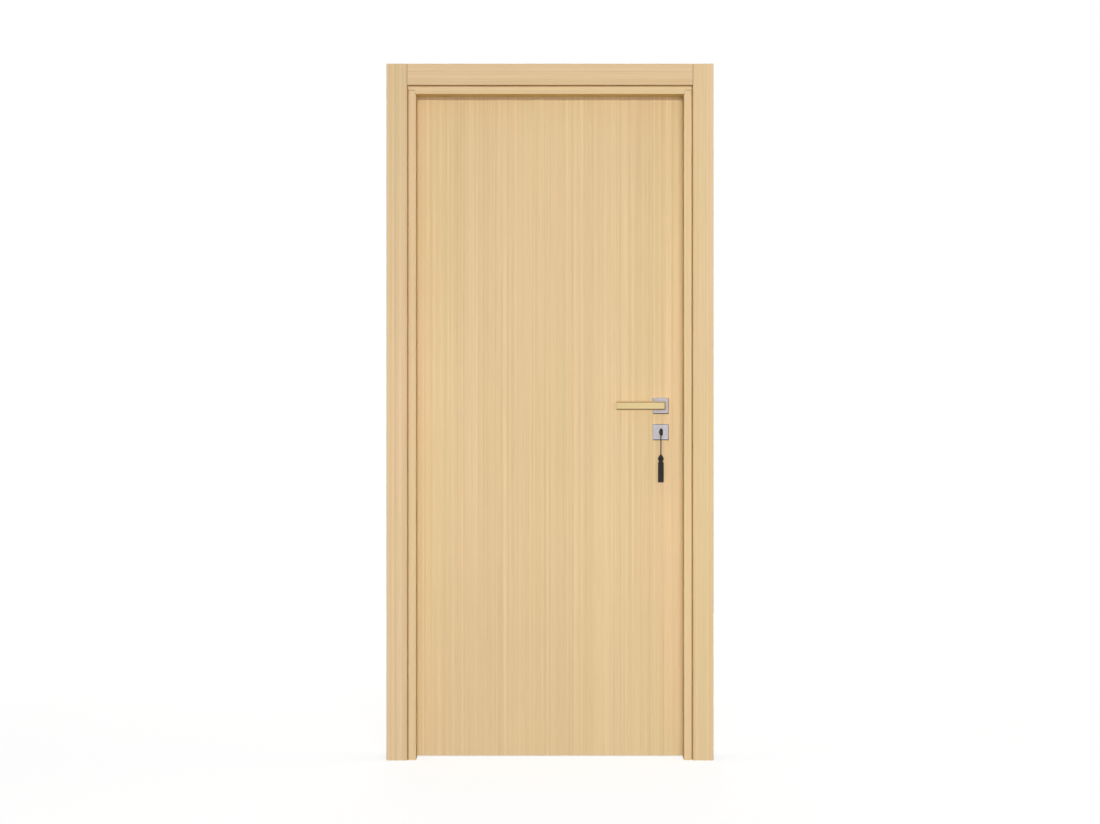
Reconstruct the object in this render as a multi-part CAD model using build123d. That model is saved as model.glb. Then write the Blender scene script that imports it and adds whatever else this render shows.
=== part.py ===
from build123d import *
from math import cos, pi, sin
import os

# A prehung single door: rebated lining with casings on both wall faces, a flush
# leaf on three butt hinges, lever handles on square roses, and a key with a
# tassel in the lock. Millimetres. X runs from the hinge jamb's wall face towards
# the latch side, Y from the push side of the wall to the pull side, Z up from
# the floor. The origin is on the hinge jamb's wall face, at the floor and in the
# middle of the wall's thickness.

# Doorway and lining
CLEAR_WIDTH = 820.0
CLEAR_HEIGHT = 2038.0
WALL = 100.0
JAMB = 40.0
NOSE_WIDTH = 22.5
NOSE_PROUD = 8.0
LEG_RISE = 12.5
REBATE = 10.0
NOSE_ARRIS = 2.0
EDGE_ROUND = 2.5
STOP_ARRIS = 1.2
SCRIBE = 3.0
SEAM = 0.6
SEAM_DEEP = 6.0
KERF_NEAR = 31.0
KERF_WIDTH = 4.0
KERF_DEEP = 16.0

# Casings
CASING_WIDTH = 63.0
HEAD_CASING_WIDTH = 65.0
CASING = 16.0
GROOVE = 4.5
CASING_ARRIS = 2.0
CASING_JOINT = 0.4
TONGUE_LONG = 14.0
TONGUE_PLAY = 0.1

# Leaf
LEAF = 40.0
GAP = 5.0
FLOOR_GAP = 3.0
SKIN = 4.0
STILE = 45.0
TOP_RAIL = 45.0
BOTTOM_RAIL = 95.0
LOCK_BLOCK = 120.0
LOCK_BLOCK_LOW = 840.0
LOCK_BLOCK_HIGH = 1250.0
LEAF_ARRIS = 1.0

# Seal in the stop
SEAL_KERF = 3.0
SEAL_KERF_NEAR = 5.0
SEAL_KERF_DEEP = 8.0
SEAL_NEAR = 1.5
SEAL_FAR = 9.5
SEAL_BULB = 4.5

# Hinges
HINGE_LEVELS = {"lower": 220.0, "middle": 1030.0, "upper": 1840.0}
HINGE_TALL = 100.0
HINGE_PLATE = 2.5
HINGE_REACH = 30.0
KNUCKLE_RADIUS = 6.5
KNUCKLES = 3
KNUCKLE_PLAY = 0.5
PIN_RADIUS = 3.0
PIN_PLAY = 0.05
AXIS_PROUD = 8.0
PIN_HEAD = 3.0
PIN_HEAD_RADIUS = 6.0
PIN_HEAD_BEVEL = 1.5

# Lock
BACKSET = 73.0
HANDLE_LEVEL = 1084.0
KEY_LEVEL = 1002.7
CASE_TALL = 165.0
CASE_DEEP = 103.0
CASE_THICK = 16.0
CASE_WALL = 1.6
CASE_LOW = 955.0
CASE_PLAY = 0.5
FOREND_TALL = 235.0
FOREND_WIDE = 20.0
FOREND = 3.0
FOLLOWER_HOLE = 9.0
BOLT_LONG = 24.0
LATCH_LEVEL = 1092.0
LATCH_TALL = 22.0
LATCH_THICK = 12.0
DEAD_LEVEL = 1030.0
DEAD_TALL = 34.0
DEAD_THICK = 9.0
BOLT_PLAY = 0.4
STRIKE = 2.0
STRIKE_PLAY = 3.0
STRIKE_POCKET = 16.0

# Roses, handles and key
ROSE = 50.0
ROSE_PROUD = 10.0
ROSE_BEVEL = 2.5
DISH_RADIUS = 15.4
DISH_DEEP = 1.0
NECK_RADIUS = 10.5
NECK_PLAY = 0.3
LEVER_REACH = 138.0
LEVER_BACK = 13.5
LEVER_TALL = 25.5
LEVER_THICK = 12.0
LEVER_PROUD = 50.0
LEVER_BEVEL = 4.0
LEVER_TIP_BEVEL = 1.5
NECK_STAND = 0.5
SPINDLE = 8.0
SPINDLE_SINK = 14.0
KEYHOLE_RADIUS = 4.2
KEYHOLE_SLOT = 4.0
KEYHOLE_DROP = 13.0
SHANK_RADIUS = 3.5
BIT_TALL = 8.5
BIT_THICK = 2.6
BIT_LONG = 9.0
BIT_SWING = 14.0
BOW_TALL = 23.0
BOW_THICK = 11.0
BOW_LONG = 26.0
BOW_AWAY = 13.5
BOW_CORNER = 8.0

# Tassel
CORD = 3.5
CORD_LONG = 62.3
LOOP_AWAY = 6.75
LOOP_PLAY = 0.1
LOOP_SIDES = 24
TASSEL_SIDES = 20
KNOT_TALL = 22.2
KNOT_WIDE = 18.0
KNOT_BELLY = 0.45
KNOT_TIP = 5.0
NECK_WIDE = 12.0
SKIRT_LONG = 63.3
SKIRT_WIDE = 18.0
SKIRT_SHOULDER = 3.0

# Worked out from the sizes above
BACK = WALL / 2 + NOSE_PROUD
FRONT = -BACK
WALL_FRONT = -WALL / 2
WALL_BACK = WALL / 2
LEAF_BACK = BACK
LEAF_FRONT = BACK - LEAF
LEAF_MID = BACK - LEAF / 2
STOP_BACK = LEAF_FRONT - GAP
OPEN_LEFT = JAMB
OPEN_RIGHT = JAMB + CLEAR_WIDTH
FRAME_WIDE = CLEAR_WIDTH + 2 * JAMB
MIDDLE = FRAME_WIDE / 2
LEG_TOP = CLEAR_HEIGHT + LEG_RISE
LEAF_LEFT = OPEN_LEFT - REBATE + GAP
LEAF_RIGHT = OPEN_RIGHT + REBATE - GAP
LEAF_TOP = CLEAR_HEIGHT + REBATE - GAP
CASING_NEAR = NOSE_WIDTH + GROOVE
FRAME_TOP = CLEAR_HEIGHT + CASING_NEAR + HEAD_CASING_WIDTH
INNER = (LEAF_FRONT + SKIN, LEAF_BACK - SKIN)
HINGE_X = OPEN_LEFT - REBATE + GAP / 2
HINGE_Y = BACK + AXIS_PROUD
LOCK_X = LEAF_RIGHT - BACKSET
ROSE_FRONT = LEAF_FRONT - ROSE_PROUD
LOOP_Y = ROSE_FRONT - LOOP_AWAY
BOW_BACK = ROSE_FRONT - BOW_AWAY
CORD_TOP = KEY_LEVEL - SHANK_RADIUS - LOOP_PLAY - CORD
CORD_END = CORD_TOP - CORD_LONG
KNOT_END = CORD_END - KNOT_TALL
SKIRT_END = KNOT_END - SKIRT_LONG
CORD_WHOLE = CORD_TOP - KNOT_END


def block(x, y, z):
    """A box from its three pairs of limits."""
    size = [high - low for low, high in (x, y, z)]
    middle = [(high + low) / 2 for low, high in (x, y, z)]
    return Pos(*middle) * Box(*size)


def outline(points, radii=None):
    """A closed face from corner points, some of them rounded."""
    if radii is None:
        return make_face(Polyline(*points, close=True))
    return make_face(FilletPolyline(*points, radius=radii, close=True))


def upright(face, low, high):
    """A plan outline raised between two levels."""
    return extrude(Pos(0, 0, low) * face, amount=high - low)


def along_head(face, left, right):
    """A section drawn in Y and Z, run across the doorway."""
    placed = Pos(left, 0, 0) * (Plane.YZ * face)
    return extrude(placed, amount=right - left, dir=(1, 0, 0))


def rod(radius, long, x, y, z, toward=(0, 1, 0)):
    """A round bar that starts at a point and runs one way."""
    return Plane((x, y, z), z_dir=toward) * Cylinder(
        radius, long, align=(Align.CENTER, Align.CENTER, Align.MIN)
    )


def other_side(shape):
    """The same piece for the latch side of the frame."""
    return mirror(shape, about=Plane.YZ.offset(MIDDLE))


# Lining section: depth into the wall, then place across the wall
def jamb_section(rounded):
    """Nose, shoulder, wall face, back nose and the rebate that takes the leaf."""
    points = [
        (0, FRONT),
        (NOSE_WIDTH, FRONT),
        (NOSE_WIDTH, WALL_FRONT),
        (JAMB, WALL_FRONT),
        (JAMB, WALL_BACK),
        (NOSE_WIDTH, WALL_BACK),
        (NOSE_WIDTH, BACK),
        (REBATE, BACK),
        (REBATE, STOP_BACK),
        (0, STOP_BACK),
    ]
    if not rounded:
        return outline(points)
    radii = [EDGE_ROUND, NOSE_ARRIS, 0, 0, 0, 0, NOSE_ARRIS, STOP_ARRIS, 0, STOP_ARRIS]
    face = outline(points, radii)
    kerf_far = KERF_NEAR + KERF_WIDTH
    for wall_face, inward in ((WALL_FRONT, 1), (WALL_BACK, -1)):
        deep = wall_face + inward * KERF_DEEP
        face -= outline(
            [(KERF_NEAR, wall_face), (kerf_far, wall_face), (kerf_far, deep), (KERF_NEAR, deep)]
        )
    seal_far = SEAL_KERF_NEAR + SEAL_KERF
    seal_deep = STOP_BACK - SEAL_KERF_DEEP
    face -= outline(
        [
            (SEAL_KERF_NEAR, STOP_BACK),
            (seal_far, STOP_BACK),
            (seal_far, seal_deep),
            (SEAL_KERF_NEAR, seal_deep),
        ]
    )
    return face


def leg(face, low, high):
    """A section set upright as the hinge side leg."""
    return upright(Pos(OPEN_LEFT, 0, 0) * mirror(face, about=Plane.YZ), low, high)


def front_prism(points, y):
    """An outline drawn in X and Z, run from one Y place to another."""
    face = outline([(x, -z) for x, z in points])
    return extrude(Pos(0, y[0], 0) * (Plane.XZ.rotated((180, 0, 0)) * face), y[1] - y[0], dir=(0, 1, 0))


def scribe():
    """The slanting cut at the top of the leg, where the head's inner edge comes down."""
    points = [
        (OPEN_LEFT - SCRIBE, LEG_TOP),
        (OPEN_LEFT + 1, LEG_TOP),
        (OPEN_LEFT + 1, CLEAR_HEIGHT),
        (OPEN_LEFT, CLEAR_HEIGHT),
    ]
    return front_prism(points, (FRONT - 1, STOP_BACK + 1))


def seam():
    """The fine open line along the front of that cut."""
    low = LEG_TOP - SEAM
    points = [
        (OPEN_LEFT - NOSE_WIDTH, LEG_TOP),
        (OPEN_LEFT - SCRIBE, LEG_TOP),
        (OPEN_LEFT, CLEAR_HEIGHT),
        (OPEN_LEFT, CLEAR_HEIGHT - 2 * SEAM),
        (OPEN_LEFT - SCRIBE - SEAM / 2, low),
        (OPEN_LEFT - NOSE_WIDTH, low),
    ]
    return front_prism(points, (FRONT - 1, FRONT + SEAM_DEEP))


def head(face, left, right):
    """A section turned to run across the top, depth pointing up."""
    turned = mirror(Rot(0, 0, 90) * face, about=Plane.YZ)
    return along_head(Pos(0, CLEAR_HEIGHT, 0) * turned, left, right)


def head_jamb():
    """The head laps over both legs, and its noses stop at the side grooves."""
    beam = head(jamb_section(True), 0, FRAME_WIDE)
    plain_leg = leg(jamb_section(False), 0, LEG_TOP) - scribe()
    beam -= plain_leg
    beam -= other_side(plain_leg)
    nose_left = OPEN_LEFT - NOSE_WIDTH
    for y in ((FRONT, WALL_FRONT), (WALL_BACK, BACK)):
        corner = block((0, nose_left), y, (CLEAR_HEIGHT, FRAME_TOP))
        beam -= corner
        beam -= other_side(corner)
    return beam


def casing_section(wall_face, outward, width=CASING_WIDTH, tongue=True):
    """Flat casing with eased edges and a tongue for the lining's kerf."""
    front = wall_face + outward * CASING
    outer = CASING_NEAR + width
    points = [
        (CASING_NEAR, wall_face),
        (CASING_NEAR, front),
        (outer, front),
        (outer, wall_face),
    ]
    face = outline(points, [0, CASING_ARRIS, CASING_ARRIS, 0])
    if tongue:
        near = KERF_NEAR + TONGUE_PLAY
        far = KERF_NEAR + KERF_WIDTH - TONGUE_PLAY
        tip = wall_face - outward * TONGUE_LONG
        face += outline([(near, wall_face), (far, wall_face), (far, tip), (near, tip)])
    return face


def side_casing(wall_face, outward):
    """The casing runs to the top, and its tongue stops under the head."""
    board = leg(casing_section(wall_face, outward, tongue=False), 0, FRAME_TOP)
    return board + leg(casing_section(wall_face, outward), 0, LEG_TOP)


def head_casing(wall_face, outward):
    """The head casing fits between the two side casings, with a hair's gap at each end."""
    left = OPEN_LEFT - CASING_NEAR + CASING_JOINT
    section = casing_section(wall_face, outward, HEAD_CASING_WIDTH)
    return head(section, left, FRAME_WIDE - left)


def seal_section():
    """A tongue in the kerf and a bulb that the closed leaf would press."""
    tip = STOP_BACK - SEAL_KERF_DEEP
    bulb = STOP_BACK + SEAL_BULB
    near = SEAL_KERF_NEAR
    far = SEAL_KERF_NEAR + SEAL_KERF
    points = [
        (near, tip),
        (far, tip),
        (far, STOP_BACK),
        (SEAL_FAR, STOP_BACK),
        (SEAL_FAR, bulb),
        (SEAL_NEAR, bulb),
        (SEAL_NEAR, STOP_BACK),
        (near, STOP_BACK),
    ]
    return outline(points, [0, 0, 0, 0, 2.0, 2.0, 0, 0])


def head_seal():
    """Its tongue ends at the legs, and its bulb reaches into both corners."""
    whole = head(seal_section(), OPEN_LEFT - SEAL_FAR, OPEN_RIGHT + SEAL_FAR)
    end = block(
        (OPEN_LEFT - SEAL_FAR, OPEN_LEFT), (FRONT, STOP_BACK), (CLEAR_HEIGHT, LEG_TOP)
    )
    return whole - end - other_side(end)


# Butt hinges
def hinge_plate_face(for_leaf):
    """The side of the joint where this plate lies: its inner and outer X."""
    if for_leaf:
        return (LEAF_LEFT, LEAF_LEFT + HINGE_PLATE)
    edge = OPEN_LEFT - REBATE
    return (edge - HINGE_PLATE, edge)


def knuckle_spans(level, for_leaf):
    """The levels of every second knuckle, the frame's first and last."""
    pitch = HINGE_TALL / KNUCKLES
    low = level - HINGE_TALL / 2
    play = KNUCKLE_PLAY / 2 if for_leaf else 0.0
    spans = []
    for n in range(1 if for_leaf else 0, KNUCKLES, 2):
        bottom = low + n * pitch + play
        spans.append((bottom, low + (n + 1) * pitch - play))
    return spans


def hinge_half(level, for_leaf):
    """A flush plate, its knuckles, and the tabs that join them."""
    low = level - HINGE_TALL / 2
    x = hinge_plate_face(for_leaf)
    plate = block(x, (BACK - HINGE_REACH, BACK), (low, low + HINGE_TALL))
    for bottom, top in knuckle_spans(level, for_leaf):
        plate += block(x, (BACK, HINGE_Y), (bottom, top))
        plate += rod(KNUCKLE_RADIUS, top - bottom, HINGE_X, HINGE_Y, bottom, (0, 0, 1))
    bore = PIN_RADIUS + PIN_PLAY
    return plate - rod(bore, HINGE_TALL, HINGE_X, HINGE_Y, low, (0, 0, 1))


def hinge_pin(level):
    """The pin's button head rests on the top knuckle."""
    low = level - HINGE_TALL / 2
    top = low + HINGE_TALL
    shaft = rod(PIN_RADIUS, HINGE_TALL, HINGE_X, HINGE_Y, low, (0, 0, 1))
    button = rod(PIN_HEAD_RADIUS, PIN_HEAD, HINGE_X, HINGE_Y, top, (0, 0, 1))
    rim = button.edges().group_by(Axis.Z)[-1]
    return shaft + chamfer(rim, PIN_HEAD_BEVEL)


def plate_recess(level, for_leaf):
    """The housing cut for one plate."""
    low = level - HINGE_TALL / 2
    x = hinge_plate_face(for_leaf)
    return block(x, (BACK - HINGE_REACH, BACK), (low, low + HINGE_TALL))


# Lock
def keyhole(y, wide=0.0):
    """A round hole with a slot below it, cut through between two Y places."""
    start, stop = y
    hole = rod(KEYHOLE_RADIUS + wide, stop - start, LOCK_X, start, KEY_LEVEL)
    half = KEYHOLE_SLOT / 2 + wide
    slot = block(
        (LOCK_X - half, LOCK_X + half), y, (KEY_LEVEL - KEYHOLE_DROP - wide, KEY_LEVEL)
    )
    return hole + slot


def spindle_hole(radius, y):
    """A round hole on the handle's axis."""
    start, stop = y
    return rod(radius, stop - start, LOCK_X, start, HANDLE_LEVEL)


def case_limits(play=0.0):
    """The box that the lock case fills behind its forend."""
    x = (LEAF_RIGHT - CASE_DEEP - play, LEAF_RIGHT)
    y = (LEAF_MID - CASE_THICK / 2 - play, LEAF_MID + CASE_THICK / 2 + play)
    z = (CASE_LOW - play, CASE_LOW + CASE_TALL + play)
    return x, y, z


def forend_limits():
    """The face plate let into the leaf's edge."""
    middle = CASE_LOW + CASE_TALL / 2
    x = (LEAF_RIGHT - FOREND, LEAF_RIGHT)
    y = (LEAF_MID - FOREND_WIDE / 2, LEAF_MID + FOREND_WIDE / 2)
    z = (middle - FOREND_TALL / 2, middle + FOREND_TALL / 2)
    return x, y, z


def bolt(level, tall, thick, play=0.0):
    """A bolt's block, its face in the plane of the leaf's edge."""
    return block(
        (LEAF_RIGHT - BOLT_LONG - play, LEAF_RIGHT),
        (LEAF_MID - thick / 2 - play, LEAF_MID + thick / 2 + play),
        (level - tall / 2 - play, level + tall / 2 + play),
    )


def latch_bolt():
    """Drawn in, with the slope that rides over the strike plate."""
    body = bolt(LATCH_LEVEL, LATCH_TALL, LATCH_THICK)
    slope = outline(
        [
            (LEAF_RIGHT, LEAF_MID + LATCH_THICK / 2),
            (LEAF_RIGHT, LEAF_MID - LATCH_THICK / 2 + 2),
            (LEAF_RIGHT - LATCH_THICK + 2, LEAF_MID + LATCH_THICK / 2),
        ]
    )
    half = LATCH_TALL / 2
    return body - upright(slope, LATCH_LEVEL - half, LATCH_LEVEL + half)


def lock_case():
    """Case and forend riveted up as one, with the chamber where the key turns."""
    case = block(*case_limits()) + block(*forend_limits())
    y = case_limits()[1]
    case -= block(
        (LOCK_X - BIT_SWING, LOCK_X + BIT_SWING),
        (y[0] + CASE_WALL, y[1] - CASE_WALL),
        (KEY_LEVEL - BIT_SWING, KEY_LEVEL + BIT_SWING),
    )
    case -= keyhole(y)
    case -= spindle_hole(FOLLOWER_HOLE, y)
    case -= bolt(LATCH_LEVEL, LATCH_TALL, LATCH_THICK, BOLT_PLAY)
    case -= bolt(DEAD_LEVEL, DEAD_TALL, DEAD_THICK, BOLT_PLAY)
    return case


def strike_limits():
    """The strike plate's place in the latch jamb's rebate face."""
    edge = OPEN_RIGHT + REBATE
    _, y, z = forend_limits()
    return (edge, edge + STRIKE), y, (z[0] + 20, z[1] - 20)


def strike_holes(x):
    """Openings that face the two bolts."""
    holes = []
    for level, tall, thick in (
        (LATCH_LEVEL, LATCH_TALL, LATCH_THICK),
        (DEAD_LEVEL, DEAD_TALL, DEAD_THICK),
    ):
        y = (LEAF_MID - thick / 2 - STRIKE_PLAY, LEAF_MID + thick / 2 + STRIKE_PLAY)
        z = (level - tall / 2 - STRIKE_PLAY, level + tall / 2 + STRIKE_PLAY)
        holes.append(block(x, y, z))
    return holes


def strike_plate():
    x, y, z = strike_limits()
    plate = block(x, y, z)
    for hole in strike_holes(x):
        plate -= hole
    return plate


# Roses and handles
def rose(level, face, outward):
    """A square rose with bevelled edges, standing on one face of the leaf."""
    tip = face + outward * ROSE_PROUD
    y = (min(face, tip), max(face, tip))
    half = ROSE / 2
    plate = block((LOCK_X - half, LOCK_X + half), y, (level - half, level + half))
    outer = plate.faces().sort_by(Axis.Y)[-1 if outward > 0 else 0]
    return chamfer(outer.edges(), ROSE_BEVEL), y


def handle_rose(face, outward):
    plate, y = rose(HANDLE_LEVEL, face, outward)
    return plate - spindle_hole(NECK_RADIUS + NECK_PLAY, y)


def key_rose(face, outward):
    """The key's rose is dished round the keyhole."""
    plate, y = rose(KEY_LEVEL, face, outward)
    bottom = face + outward * (ROSE_PROUD - DISH_DEEP)
    plate -= rod(DISH_RADIUS, ROSE_PROUD, LOCK_X, bottom, KEY_LEVEL, (0, outward, 0))
    return plate - keyhole(y)


def lever(face, outward):
    """A straight bar on a round neck, bevelled along and at the neck's end."""
    front = face + outward * LEVER_PROUD
    back = front - outward * LEVER_THICK
    x = (LOCK_X - LEVER_REACH, LOCK_X + LEVER_BACK)
    z = (HANDLE_LEVEL - LEVER_TALL / 2, HANDLE_LEVEL + LEVER_TALL / 2)
    bar = block(x, (min(front, back), max(front, back)), z)
    side = -1 if outward > 0 else 0
    by_x = bar.faces().sort_by(Axis.Y)[side].edges().sort_by(Axis.X)
    bar = chamfer(by_x[1:], LEVER_BEVEL)
    tip = bar.faces().sort_by(Axis.Y)[side].edges().sort_by(Axis.X)[0]
    bar = chamfer(tip, LEVER_TIP_BEVEL)
    neck_end = face + outward * NECK_STAND
    neck = spindle_hole(NECK_RADIUS, (min(neck_end, back), max(neck_end, back)))
    return bar + neck - spindle()


def spindle():
    """The square bar through the lock that both levers sit on."""
    half = SPINDLE / 2
    reach = LEVER_PROUD - SPINDLE_SINK
    return block(
        (LOCK_X - half, LOCK_X + half),
        (LEAF_FRONT - reach, LEAF_BACK + reach),
        (HANDLE_LEVEL - half, HANDLE_LEVEL + half),
    )


# Key and tassel
def key_blade():
    """Shank and bit, with the bit in the lock's chamber."""
    tip = LEAF_MID + CASE_THICK / 2 - CASE_WALL - 1.0
    shank = rod(SHANK_RADIUS, tip - BOW_BACK, LOCK_X, BOW_BACK, KEY_LEVEL)
    half = BIT_THICK / 2
    bit = block(
        (LOCK_X - half, LOCK_X + half),
        (tip - BIT_LONG, tip),
        (KEY_LEVEL - SHANK_RADIUS - BIT_TALL, KEY_LEVEL),
    )
    ward = block(
        (LOCK_X - half, LOCK_X + half),
        (tip - BIT_LONG / 2 - 1, tip - BIT_LONG / 2 + 1),
        (KEY_LEVEL - SHANK_RADIUS - BIT_TALL, KEY_LEVEL - SHANK_RADIUS - BIT_TALL / 2),
    )
    return shank + bit - ward


def key_grip():
    """The moulded grip: an upright oval from the front, a rounded slab from the side."""
    front = Plane((LOCK_X, BOW_BACK, KEY_LEVEL), x_dir=(0, 0, 1), z_dir=(0, -1, 0))
    oval = extrude(front * SlotOverall(BOW_TALL, BOW_THICK), amount=BOW_LONG)
    middle = BOW_BACK - BOW_LONG / 2
    side = Plane((LOCK_X, middle, KEY_LEVEL), x_dir=(0, 1, 0), z_dir=(1, 0, 0))
    slab = side * RectangleRounded(BOW_LONG, BOW_TALL, BOW_CORNER)
    return oval & extrude(slab, amount=BOW_THICK, both=True)


def tassel_loop():
    """The cord's eye, which hangs on the key's shank."""
    inner = SHANK_RADIUS + LOOP_PLAY
    around = Plane((LOCK_X, LOOP_Y - CORD / 2, KEY_LEVEL), x_dir=(0, 0, 1), z_dir=(0, 1, 0))
    ring = RegularPolygon(inner + CORD, LOOP_SIDES)
    ring -= RegularPolygon(inner, LOOP_SIDES, major_radius=False)
    return extrude(around * ring, amount=CORD)


def tassel_cord():
    """The cord hangs straight and runs on through the head to its neck."""
    return rod(CORD / 2, CORD_WHOLE, LOCK_X, LOOP_Y, KNOT_END, (0, 0, 1))


def stacked(rings):
    """Many-sided rings about the tassel's own line, joined by flat faces."""
    loops = []
    for radius, level in rings:
        loop = []
        for n in range(TASSEL_SIDES):
            turn = 2 * pi * n / TASSEL_SIDES
            loop.append((LOCK_X + radius * cos(turn), LOOP_Y + radius * sin(turn), level))
        loops.append(loop)
    faces = [flat(loops[0]), flat(loops[-1])]
    for low, high in zip(loops, loops[1:]):
        for n in range(TASSEL_SIDES):
            faces.append(flat([low[n - 1], low[n], high[n], high[n - 1]]))
    return Solid(Shell(faces))


def flat(corners):
    """A flat face from its corners."""
    return Face(Wire.make_polygon(corners, close=True))


def tassel_knot():
    """The bound head, pointed above and drawn in at the neck, with the cord through it."""
    belly = KNOT_END + KNOT_TALL * KNOT_BELLY
    head_shape = stacked(
        [
            (NECK_WIDE / 2, KNOT_END),
            (KNOT_WIDE / 2, belly - KNOT_TALL / 12),
            (KNOT_WIDE / 2, belly + KNOT_TALL / 12),
            (KNOT_WIDE / 4, CORD_END - KNOT_TALL / 6),
            (KNOT_TIP / 2, CORD_END),
        ]
    )
    return head_shape - rod(CORD / 2, KNOT_TALL, LOCK_X, LOOP_Y, KNOT_END, (0, 0, 1))


def tassel_skirt():
    """The hanging threads, cut flat below."""
    return stacked(
        [
            (SKIRT_WIDE / 2, SKIRT_END),
            (SKIRT_WIDE / 2, KNOT_END - SKIRT_SHOULDER),
            (NECK_WIDE / 2, KNOT_END),
        ]
    )


# Leaf
def skin(y):
    """One face of the leaf, with its holes for the handle and the key."""
    board = block((LEAF_LEFT, LEAF_RIGHT), y, (FLOOR_GAP, LEAF_TOP))
    outer = y[0] if y[0] == LEAF_FRONT else y[1]
    face = board.faces().filter_by(Axis.Y).sort_by_distance((MIDDLE, outer, MIDDLE))[0]
    board = chamfer(face.edges().filter_by(Axis.Z), LEAF_ARRIS)
    board -= spindle_hole(NECK_RADIUS + 1.5, y)
    return board - keyhole(y, wide=1.0)


def hinge_stile():
    stile = block((LEAF_LEFT, LEAF_LEFT + STILE), INNER, (FLOOR_GAP, LEAF_TOP))
    for level in HINGE_LEVELS.values():
        stile -= plate_recess(level, True)
    return stile


def latch_stile():
    """The stile and the block glued to it for the lock."""
    stile = block((LEAF_RIGHT - STILE, LEAF_RIGHT), INNER, (FLOOR_GAP, LEAF_TOP))
    stile += block(
        (LEAF_RIGHT - LOCK_BLOCK, LEAF_RIGHT), INNER, (LOCK_BLOCK_LOW, LOCK_BLOCK_HIGH)
    )
    stile -= block(*case_limits(CASE_PLAY))
    stile -= block(*forend_limits())
    stile -= spindle_hole(NECK_RADIUS + 1.5, INNER)
    return stile - keyhole(INNER, wide=1.0)


def rail(z):
    return block((LEAF_LEFT + STILE, LEAF_RIGHT - STILE), INNER, z)


def core():
    """The filling between stiles and rails, cut round the lock block."""
    filling = rail((FLOOR_GAP + BOTTOM_RAIL, LEAF_TOP - TOP_RAIL))
    return filling - block(
        (LEAF_RIGHT - LOCK_BLOCK, LEAF_RIGHT), INNER, (LOCK_BLOCK_LOW, LOCK_BLOCK_HIGH)
    )


def frame_pieces():
    """Everything that is fixed to the wall."""
    hinge_leg = leg(jamb_section(True), 0, LEG_TOP) - scribe() - seam()
    latch_leg = other_side(hinge_leg)
    for level in HINGE_LEVELS.values():
        hinge_leg -= plate_recess(level, False)
    latch_leg -= block(*strike_limits())
    edge = OPEN_RIGHT + REBATE
    for pocket in strike_holes((edge, edge + STRIKE_POCKET)):
        latch_leg -= pocket
    pieces = {
        "hinge_jamb": hinge_leg,
        "latch_jamb": latch_leg,
        "head_jamb": head_jamb(),
        "strike_plate": strike_plate(),
        "head_seal": head_seal(),
    }
    seal = leg(seal_section(), 0, CLEAR_HEIGHT + SEAL_NEAR)
    pieces["hinge_side_seal"] = seal
    pieces["latch_side_seal"] = other_side(seal)
    for side, wall_face, outward in (("front", WALL_FRONT, -1), ("back", WALL_BACK, 1)):
        board = side_casing(wall_face, outward)
        pieces[f"{side}_hinge_casing"] = board
        pieces[f"{side}_latch_casing"] = other_side(board)
        pieces[f"{side}_head_casing"] = head_casing(wall_face, outward)
    for name, level in HINGE_LEVELS.items():
        pieces[f"{name}_hinge_frame_half"] = hinge_half(level, False)
        pieces[f"{name}_hinge_pin"] = hinge_pin(level)
    return pieces


def leaf_pieces():
    """Everything that swings, apart from what turns in the lock."""
    pieces = {
        "front_skin": skin((LEAF_FRONT, LEAF_FRONT + SKIN)),
        "back_skin": skin((LEAF_BACK - SKIN, LEAF_BACK)),
        "hinge_stile": hinge_stile(),
        "latch_stile": latch_stile(),
        "top_rail": rail((LEAF_TOP - TOP_RAIL, LEAF_TOP)),
        "bottom_rail": rail((FLOOR_GAP, FLOOR_GAP + BOTTOM_RAIL)),
        "core": core(),
        "lock_case": lock_case(),
        "latch_bolt": latch_bolt(),
        "dead_bolt": bolt(DEAD_LEVEL, DEAD_TALL, DEAD_THICK),
        "front_handle_rose": handle_rose(LEAF_FRONT, -1),
        "back_handle_rose": handle_rose(LEAF_BACK, 1),
        "front_key_rose": key_rose(LEAF_FRONT, -1),
        "back_key_rose": key_rose(LEAF_BACK, 1),
    }
    for level in HINGE_LEVELS.values():
        pieces["back_skin"] -= plate_recess(level, True)
    for name, level in HINGE_LEVELS.items():
        pieces[f"{name}_hinge_leaf_half"] = hinge_half(level, True)
    return pieces


def turning_pieces():
    """The handle, the key and the tassel that hangs on the key."""
    return {
        "front_lever": lever(LEAF_FRONT, -1),
        "back_lever": lever(LEAF_BACK, 1),
        "spindle": spindle(),
        "key_blade": key_blade(),
        "key_grip": key_grip(),
        "tassel_loop": tassel_loop(),
        "tassel_cord": tassel_cord(),
        "tassel_knot": tassel_knot(),
        "tassel_skirt": tassel_skirt(),
    }


os.makedirs("parts", exist_ok=True)
for make in (frame_pieces, leaf_pieces, turning_pieces):
    for node, shape in make().items():
        export_step(shape, f"parts/{node}.step")
        print(node, "solids", len(shape.solids()), "volume", round(shape.volume))
print("hinge axis", HINGE_X, HINGE_Y)
print("lock axis", LOCK_X, HANDLE_LEVEL, KEY_LEVEL)
print("cord runs straight, length", CORD_WHOLE, "no bend radius")
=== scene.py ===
# %% [markdown]
# A prehung door, dressed
#
# A prehung door comes as one set: a lining for the wall's opening, flat casings that hide the
# joint with the wall, and a leaf that already hangs in it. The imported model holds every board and
# fitting at its size and place. What it can't hold is added here: the run of the veneer, the
# satin of the metal, the screws, the moulded grip and the thread of the tassel.

import math
import random

import bpy
import bmesh
from mathutils import Matrix, Vector


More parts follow.
